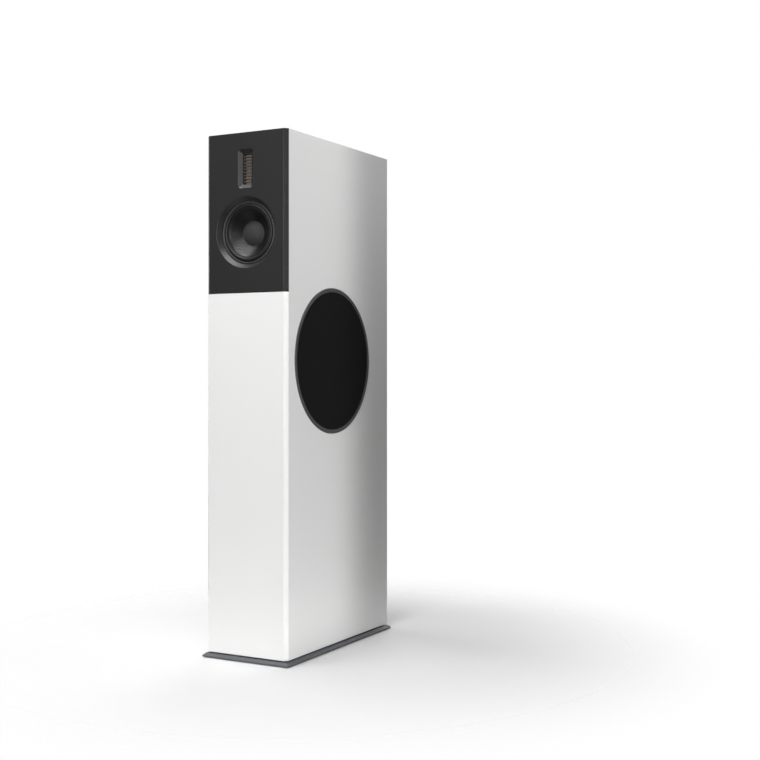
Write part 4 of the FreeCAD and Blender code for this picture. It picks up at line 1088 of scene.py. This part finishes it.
@operator
class SPEAKER_OT_plinth(bpy.types.Operator):
    """Makes the bevelled plinth and its foot pads"""
    bl_idname = "speaker.plinth"
    bl_label = "Plinth"

    def execute(self, context):
        weighted(softened("plinth_plate", 0.4 * mm, 3))
        (x0, y0, z0), (x1, y1, z1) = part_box("foot_pads")
        radius = 14 * mm
        pads = []
        for x in (x0 + radius, x1 - radius):
            for y in (y0 + radius, y1 - radius):
                pads.append(self.pad(Vector((x, y, z0)), radius, z1 - z0))
        stand_in(plain_object("rubber_feet", joined(pads)), "foot_pads")
        return {"FINISHED"}

    def pad(self, foot, radius, height):
        """Rubber disc with two grooves under it."""
        lip = 0.4 * mm
        outline = [(radius, lip), (radius - lip, 0)]
        for r in (10 * mm, 6 * mm):
            outline += [(r + lip, 0), (r, 2 * lip), (r - lip, 0)]
        outline += [(0, 0), (0, height), (radius - lip, height), (radius, height - lip)]
        rows = []
        for i in range(48):
            a = math.tau * i / 48
            rows.append([foot + Vector((r * math.cos(a), r * math.sin(a), h)) for r, h in outline])
        return skin(rows, ring=True)


@operator
class SPEAKER_OT_port(bpy.types.Operator):
    """Makes the flared port"""
    bl_idname = "speaker.port"
    bl_label = "Port"

    def execute(self, context):
        back, face = port_axis.span("port_tube")
        flange = port_axis.radius("port_tube")
        bore, wall, flare, flange_depth = 32 * mm, 3 * mm, 10 * mm, 5 * mm
        mouth = arc((bore + flare, face - flare), flare, 180, 90, 18)
        outline = [(bore, back)] + mouth + [(flange, face), (flange, face - flange_depth),
                                            (bore + wall, face - flange_depth), (bore + wall, back)]
        port = plain_object("flared_port", turned(eased(outline, 0.8 * mm, 4), port_axis, sides=160))
        stand_in(port, "port_tube")
        return {"FINISHED"}


@operator
class SPEAKER_OT_terminal(bpy.types.Operator):
    """Makes the connection tray with its posts, collars and fluted knobs"""
    bl_idname = "speaker.terminal"
    bl_label = "Terminal"

    def execute(self, context):
        sizes = context.scene.speaker_sizes
        weighted(softened("terminal_cup", 0.5 * mm, 3))
        softened("post_studs", 0.3 * mm)
        for colour in ("red", "black"):
            self.collar(f"clamp_collar_{colour}")
            self.knob(f"knob_{colour}", sizes)
        return {"FINISHED"}

    def collar(self, node):
        axis = Axis(node, (0, 1, 0))
        low, high = axis.span(node)
        outer, inner = axis.radius(node), 4.05 * mm
        outline = eased([(inner, low), (outer, low), (outer, high), (inner, high)], 0.4 * mm)
        stand_in(plain_object(node + "_turned", turned(outline, axis, sides=96)), node)

    def knob(self, node, sizes):
        """Fluted outside, stepped inside for the thread and the plug."""
        axis = Axis(node, (0, 1, 0))
        low, high = axis.span(node)
        radius, thread, mouth, lip = axis.radius(node), 4.05 * mm, 3.2 * mm, 1 * mm
        count, depth, flutes = 12 * sizes.knob_grips, sizes.knob_grip_depth, sizes.knob_grips
        full = radius + 0.05 * mm
        rows = [circle(thread, high - 1.5 * mm, count), circle(thread, low + 0.3 * mm, count),
                circle(thread + 0.3 * mm, low, count), circle(full - lip, low, count)]
        for end, inwards, shares in ((low, lip, (0.25, 0.5, 0.75, 1)), (high, -lip, (1, 0.75, 0.5, 0.25))):
            for share in shares:
                a = math.pi / 2 * share
                rows.append(circle(full - lip + lip * math.sin(a), end + inwards * (1 - math.cos(a)), count,
                                   flutes, depth * share))
        rows += [circle(full - lip, high, count), circle(mouth + 1.6 * mm, high, count),
                 circle(mouth + 1.3 * mm, high - 0.4 * mm, count), circle(mouth + 0.3 * mm, high - 0.4 * mm, count),
                 circle(mouth, high - 0.7 * mm, count), circle(mouth, high - 1.5 * mm, count)]
        turned_rows = [[axis.matrix @ p for p in row] for row in rows]
        obj = plain_object(node + "_fluted", skin(turned_rows, ring=True))
        stand_in(obj, node, 40)


def head_places(node):
    """For each screw of a node, the middle of its head's end and the direction it faces."""
    places = []
    for points in loose_parts(node):
        low, high = corners(points)
        axis = max(range(3), key=lambda i: (high - low)[i])
        middle = (low + high) / 2

        def reach(end):
            near = [p - middle for p in points if abs(p[axis] - end) < 1e-5]
            return max((math.hypot(*(p[i] for i in range(3) if i != axis)) for p in near), default=0)
        outward = Vector((0, 0, 0))
        outward[axis] = 1 if reach(high[axis]) > reach(low[axis]) else -1
        end = middle.copy()
        end[axis] = high[axis] if outward[axis] > 0 else low[axis]
        places.append((end, outward))
    return places


@operator
class SPEAKER_OT_screws(bpy.types.Operator):
    """Makes the socket screws, countersunk screws and plinth bolts"""
    bl_idname = "speaker.screws"
    bl_label = "Screws"

    def execute(self, context):
        kinds = (("m4_screws", self.screw(3.75, 2.1, 2.5, 1.4, 2.0, 16.0, sunk=True)),
                 ("m5_screws", self.screw(4.25, 5.0, 4.0, 2.5, 2.5, 30.0)),
                 ("plinth_bolts", self.screw(5.0, 4.0, 5.0, 2.0, 3.0, 20.0)))
        for node, pattern in kinds:
            places = head_places(node)
            mesh = bmesh.new()
            facing = mesh.verts.layers.float_vector.new("outward")
            for end, outward in places:
                mesh.verts.new(end)[facing] = outward
            obj = plain_object(node + "_turned", mesh)
            template = plain_object("pattern", pattern)
            grown(obj, "Screws", self.set_screws, {"Pattern": template})
            bpy.data.objects.remove(template)
            stand_in(obj, node, 35)
        return {"FINISHED"}

    def set_screws(self, tree, entry):
        pattern = tree.node("GeometryNodeObjectInfo", inputs={"Object": entry.output("Pattern")},
                            output="Geometry")
        facing = tree.node("GeometryNodeInputNamedAttribute", {"data_type": "FLOAT_VECTOR"}, {"Name": "outward"})
        turn = tree.node("FunctionNodeAlignRotationToVector", {"axis": "Z"}, {"Vector": facing})
        return tree.node("GeometryNodeInstanceOnPoints", inputs={
            "Points": entry.output("Geometry"), "Instance": pattern, "Rotation": turn})

    def screw(self, head, height, socket, depth, shank, whole, sunk=False):
        """A screw along -Z with its head's top at zero: hexagon socket, eased head, ridged thread. Millimetres."""
        count = 36
        rows = [hexagon(socket, -depth, count), hexagon(socket, -0.2, count), circle(socket * 0.68, 0, count),
                circle(head - 0.4, 0, count)]
        if sunk:
            rows += [circle(head, -0.25, count), circle(shank, -height, count)]
        else:
            rows += [circle(head - 0.1, -0.12, count), circle(head, -0.5, count), circle(head, -height, count),
                     circle(shank, -height, count)]
        z, pitch = -height - 1.0, 1.0
        while z - pitch > -whole + 0.8:
            rows += [circle(shank - 0.4, z, count), circle(shank, z - pitch / 2, count)]
            z -= pitch
        rows += [circle(shank - 0.4, z, count), circle(shank - 0.8, -whole, count)]
        return skin([[p * mm for p in row] for row in rows])


@operator
class SPEAKER_OT_fleece(bpy.types.Operator):
    """Makes the damping fleece as two soft pads"""
    bl_idname = "speaker.fleece"
    bl_label = "Fleece"

    def execute(self, context):
        for index, points in enumerate(loose_parts("damping_fleece")):
            pad = plain_object(f"fleece_pad_{index + 1}", self.pad(*corners(points), index))
            stand_in(pad, "damping_fleece", 180)
        return {"FINISHED"}

    def pad(self, low, high, seed):
        """A crowned pad, lumpy all over, that stays inside its space."""
        mesh = bmesh.new()
        bmesh.ops.create_cube(mesh, size=1)
        bmesh.ops.subdivide_edges(mesh, edges=mesh.edges, cuts=30, use_grid_fill=True)
        half, middle = (high - low) / 2, (high + low) / 2
        for vert in mesh.verts:
            p = vert.co * 2
            ball = p / max((abs(p.x) ** 6 + abs(p.y) ** 6 + abs(p.z) ** 6) ** (1 / 6), 1e-9)
            ball *= max(abs(p.x), abs(p.y), abs(p.z))
            place = Vector((ball.x * half.x, ball.y * half.y, ball.z * half.z))
            lump = noise.noise(place * 28 + Vector((seed * 5, 0, 0))) + 0.5 * noise.noise(place * 75)
            vert.co = middle + place * (0.965 + 0.02 * lump)
        return mesh


@operator
class SPEAKER_OT_stage(bpy.types.Operator):
    """Sets up the floor, the light and the camera"""
    bl_idname = "speaker.stage"
    bl_label = "Stage"

    def execute(self, context):
        scene = context.scene
        floor = plain_object("floor", self.floor())
        floor.data.materials.append(self.floor_finish(scene.speaker_colours))
        self.world(scene)
        self.lights(scene)
        self.camera(scene)
        scene.view_settings.view_transform = "Standard"
        return {"FINISHED"}

    def floor(self):
        mesh = bmesh.new()
        bmesh.ops.create_circle(mesh, cap_ends=True, segments=128, radius=1.6)
        return mesh

    def floor_finish(self, colours):
        """Pale floor that fades out into the backdrop."""
        f = Finish(specular=0.1)
        f.material.name = "studio floor"
        away = f.node("ShaderNodeVectorMath", {"operation": "LENGTH"}, {0: f.place}, output="Value")
        f.feed(f.shader.inputs["Alpha"], 1 - f.smoothstep(away, 0.32, 0.85))
        f.shader.inputs["Emission Color"].default_value = (1, 1, 1, 1)
        f.shader.inputs["Emission Strength"].default_value = 0.02
        return f.colour(colours.floor).rough(0.9).material

    def world(self, scene):
        """White backdrop. The room's own light is weak, and weakest from the right and behind."""
        world = bpy.data.worlds.new("studio")
        world.use_nodes = True
        tree = Tree(world.node_tree)
        background = world.node_tree.nodes["Background"]
        way = tree.node("ShaderNodeTexCoord", output="Generated")
        facing = tree.node("ShaderNodeVectorMath", {"operation": "DOT_PRODUCT"},
                           {0: way, 1: (0.8, 0.6, 0.0)}, output="Value")
        room = 0.15 * (1 - 0.94 * tree.smoothstep(facing, -0.5, 0.15))
        seen = tree.node("ShaderNodeLightPath", output="Is Camera Ray")
        tree.feed(background.inputs["Strength"], room * (1 - seen) + seen)
        background.inputs["Color"].default_value = (1, 1, 1, 1)
        scene.world = world

    def lights(self, scene):
        """Soft boxes: place, what it points at, size, power and spread in degrees."""
        boxes = {
            "overhead": ((-0.05, -0.75, 2.4), (-0.05, -0.1, 0.55), (1.8, 1.0), 46, 180),
            "front": ((0.55, -2.3, 1.0), (0.0, -0.1, 0.5), (1.0, 1.0), 30, 180),
            "right": ((1.15, -0.50, 0.62), (0.0, -0.50, 0.62), (1.1, 1.24), 1.75, 12),
            "right_soft": ((1.15, -0.85, 0.6), (0.1, -0.2, 0.6), (0.5, 1.4), 0.8, 180),
            "left": ((-1.8, 0.15, 0.9), (0.0, 0.0, 0.5), (1.0, 1.6), 20, 180),
            "back": ((-0.5, 1.9, 0.9), (0.0, 0.0, 0.5), (1.4, 1.4), 26, 180),
            "upper_right": ((0.75, 0.30, 1.30), (0.09, 0.12, 0.90), (0.3, 0.3), 0.4, 90),
        }
        for name, (place, target, size, power, spread) in boxes.items():
            data = bpy.data.lights.new(name, "AREA")
            data.shape, data.size, data.size_y = "RECTANGLE", *size
            data.energy, data.spread = power, math.radians(spread)
            lamp = bpy.data.objects.new(name, data)
            scene.collection.objects.link(lamp)
            lamp.location = place
            lamp.rotation_euler = (Vector(target) - Vector(place)).to_track_quat("-Z", "Y").to_euler()
            lamp.visible_camera = False

    def camera(self, scene):
        data = bpy.data.cameras.new("camera")
        data.sensor_width, data.lens = 36, 58.53
        data.shift_x, data.shift_y = 0.00347, -0.01334
        camera = bpy.data.objects.new("camera", data)
        scene.collection.objects.link(camera)
        camera.location = (1.310, -2.089, 0.542)
        camera.rotation_euler = Vector((-0.4783, 0.8782, 0)).to_track_quat("-Z", "Y").to_euler()
        scene.camera = camera


class SPEAKER_PT_panel(bpy.types.Panel):
    """Buttons for every group of pieces"""
    bl_idname = "SPEAKER_PT_panel"
    bl_label = "Loudspeaker"
    bl_space_type = "VIEW_3D"
    bl_region_type = "UI"
    bl_category = "Loudspeaker"

    def draw(self, context):
        for group in (context.scene.speaker_sizes, context.scene.speaker_colours):
            box = self.layout.box()
            for name in group.__annotations__:
                box.prop(group, name)
        for cls in operators:
            self.layout.operator(cls.bl_idname)


classes = (SpeakerSizes, SpeakerColours, *operators, SPEAKER_PT_panel)


def register():
    for cls in classes:
        bpy.utils.register_class(cls)
    bpy.types.Scene.speaker_sizes = PointerProperty(type=SpeakerSizes)
    bpy.types.Scene.speaker_colours = PointerProperty(type=SpeakerColours)


def unregister():
    del bpy.types.Scene.speaker_sizes
    del bpy.types.Scene.speaker_colours
    for cls in reversed(classes):
        bpy.utils.unregister_class(cls)


def main():
    register()
    for cls in operators:
        group, name = cls.bl_idname.split(".")
        getattr(getattr(bpy.ops, group), name)()


if __name__ == "__main__":
    main()
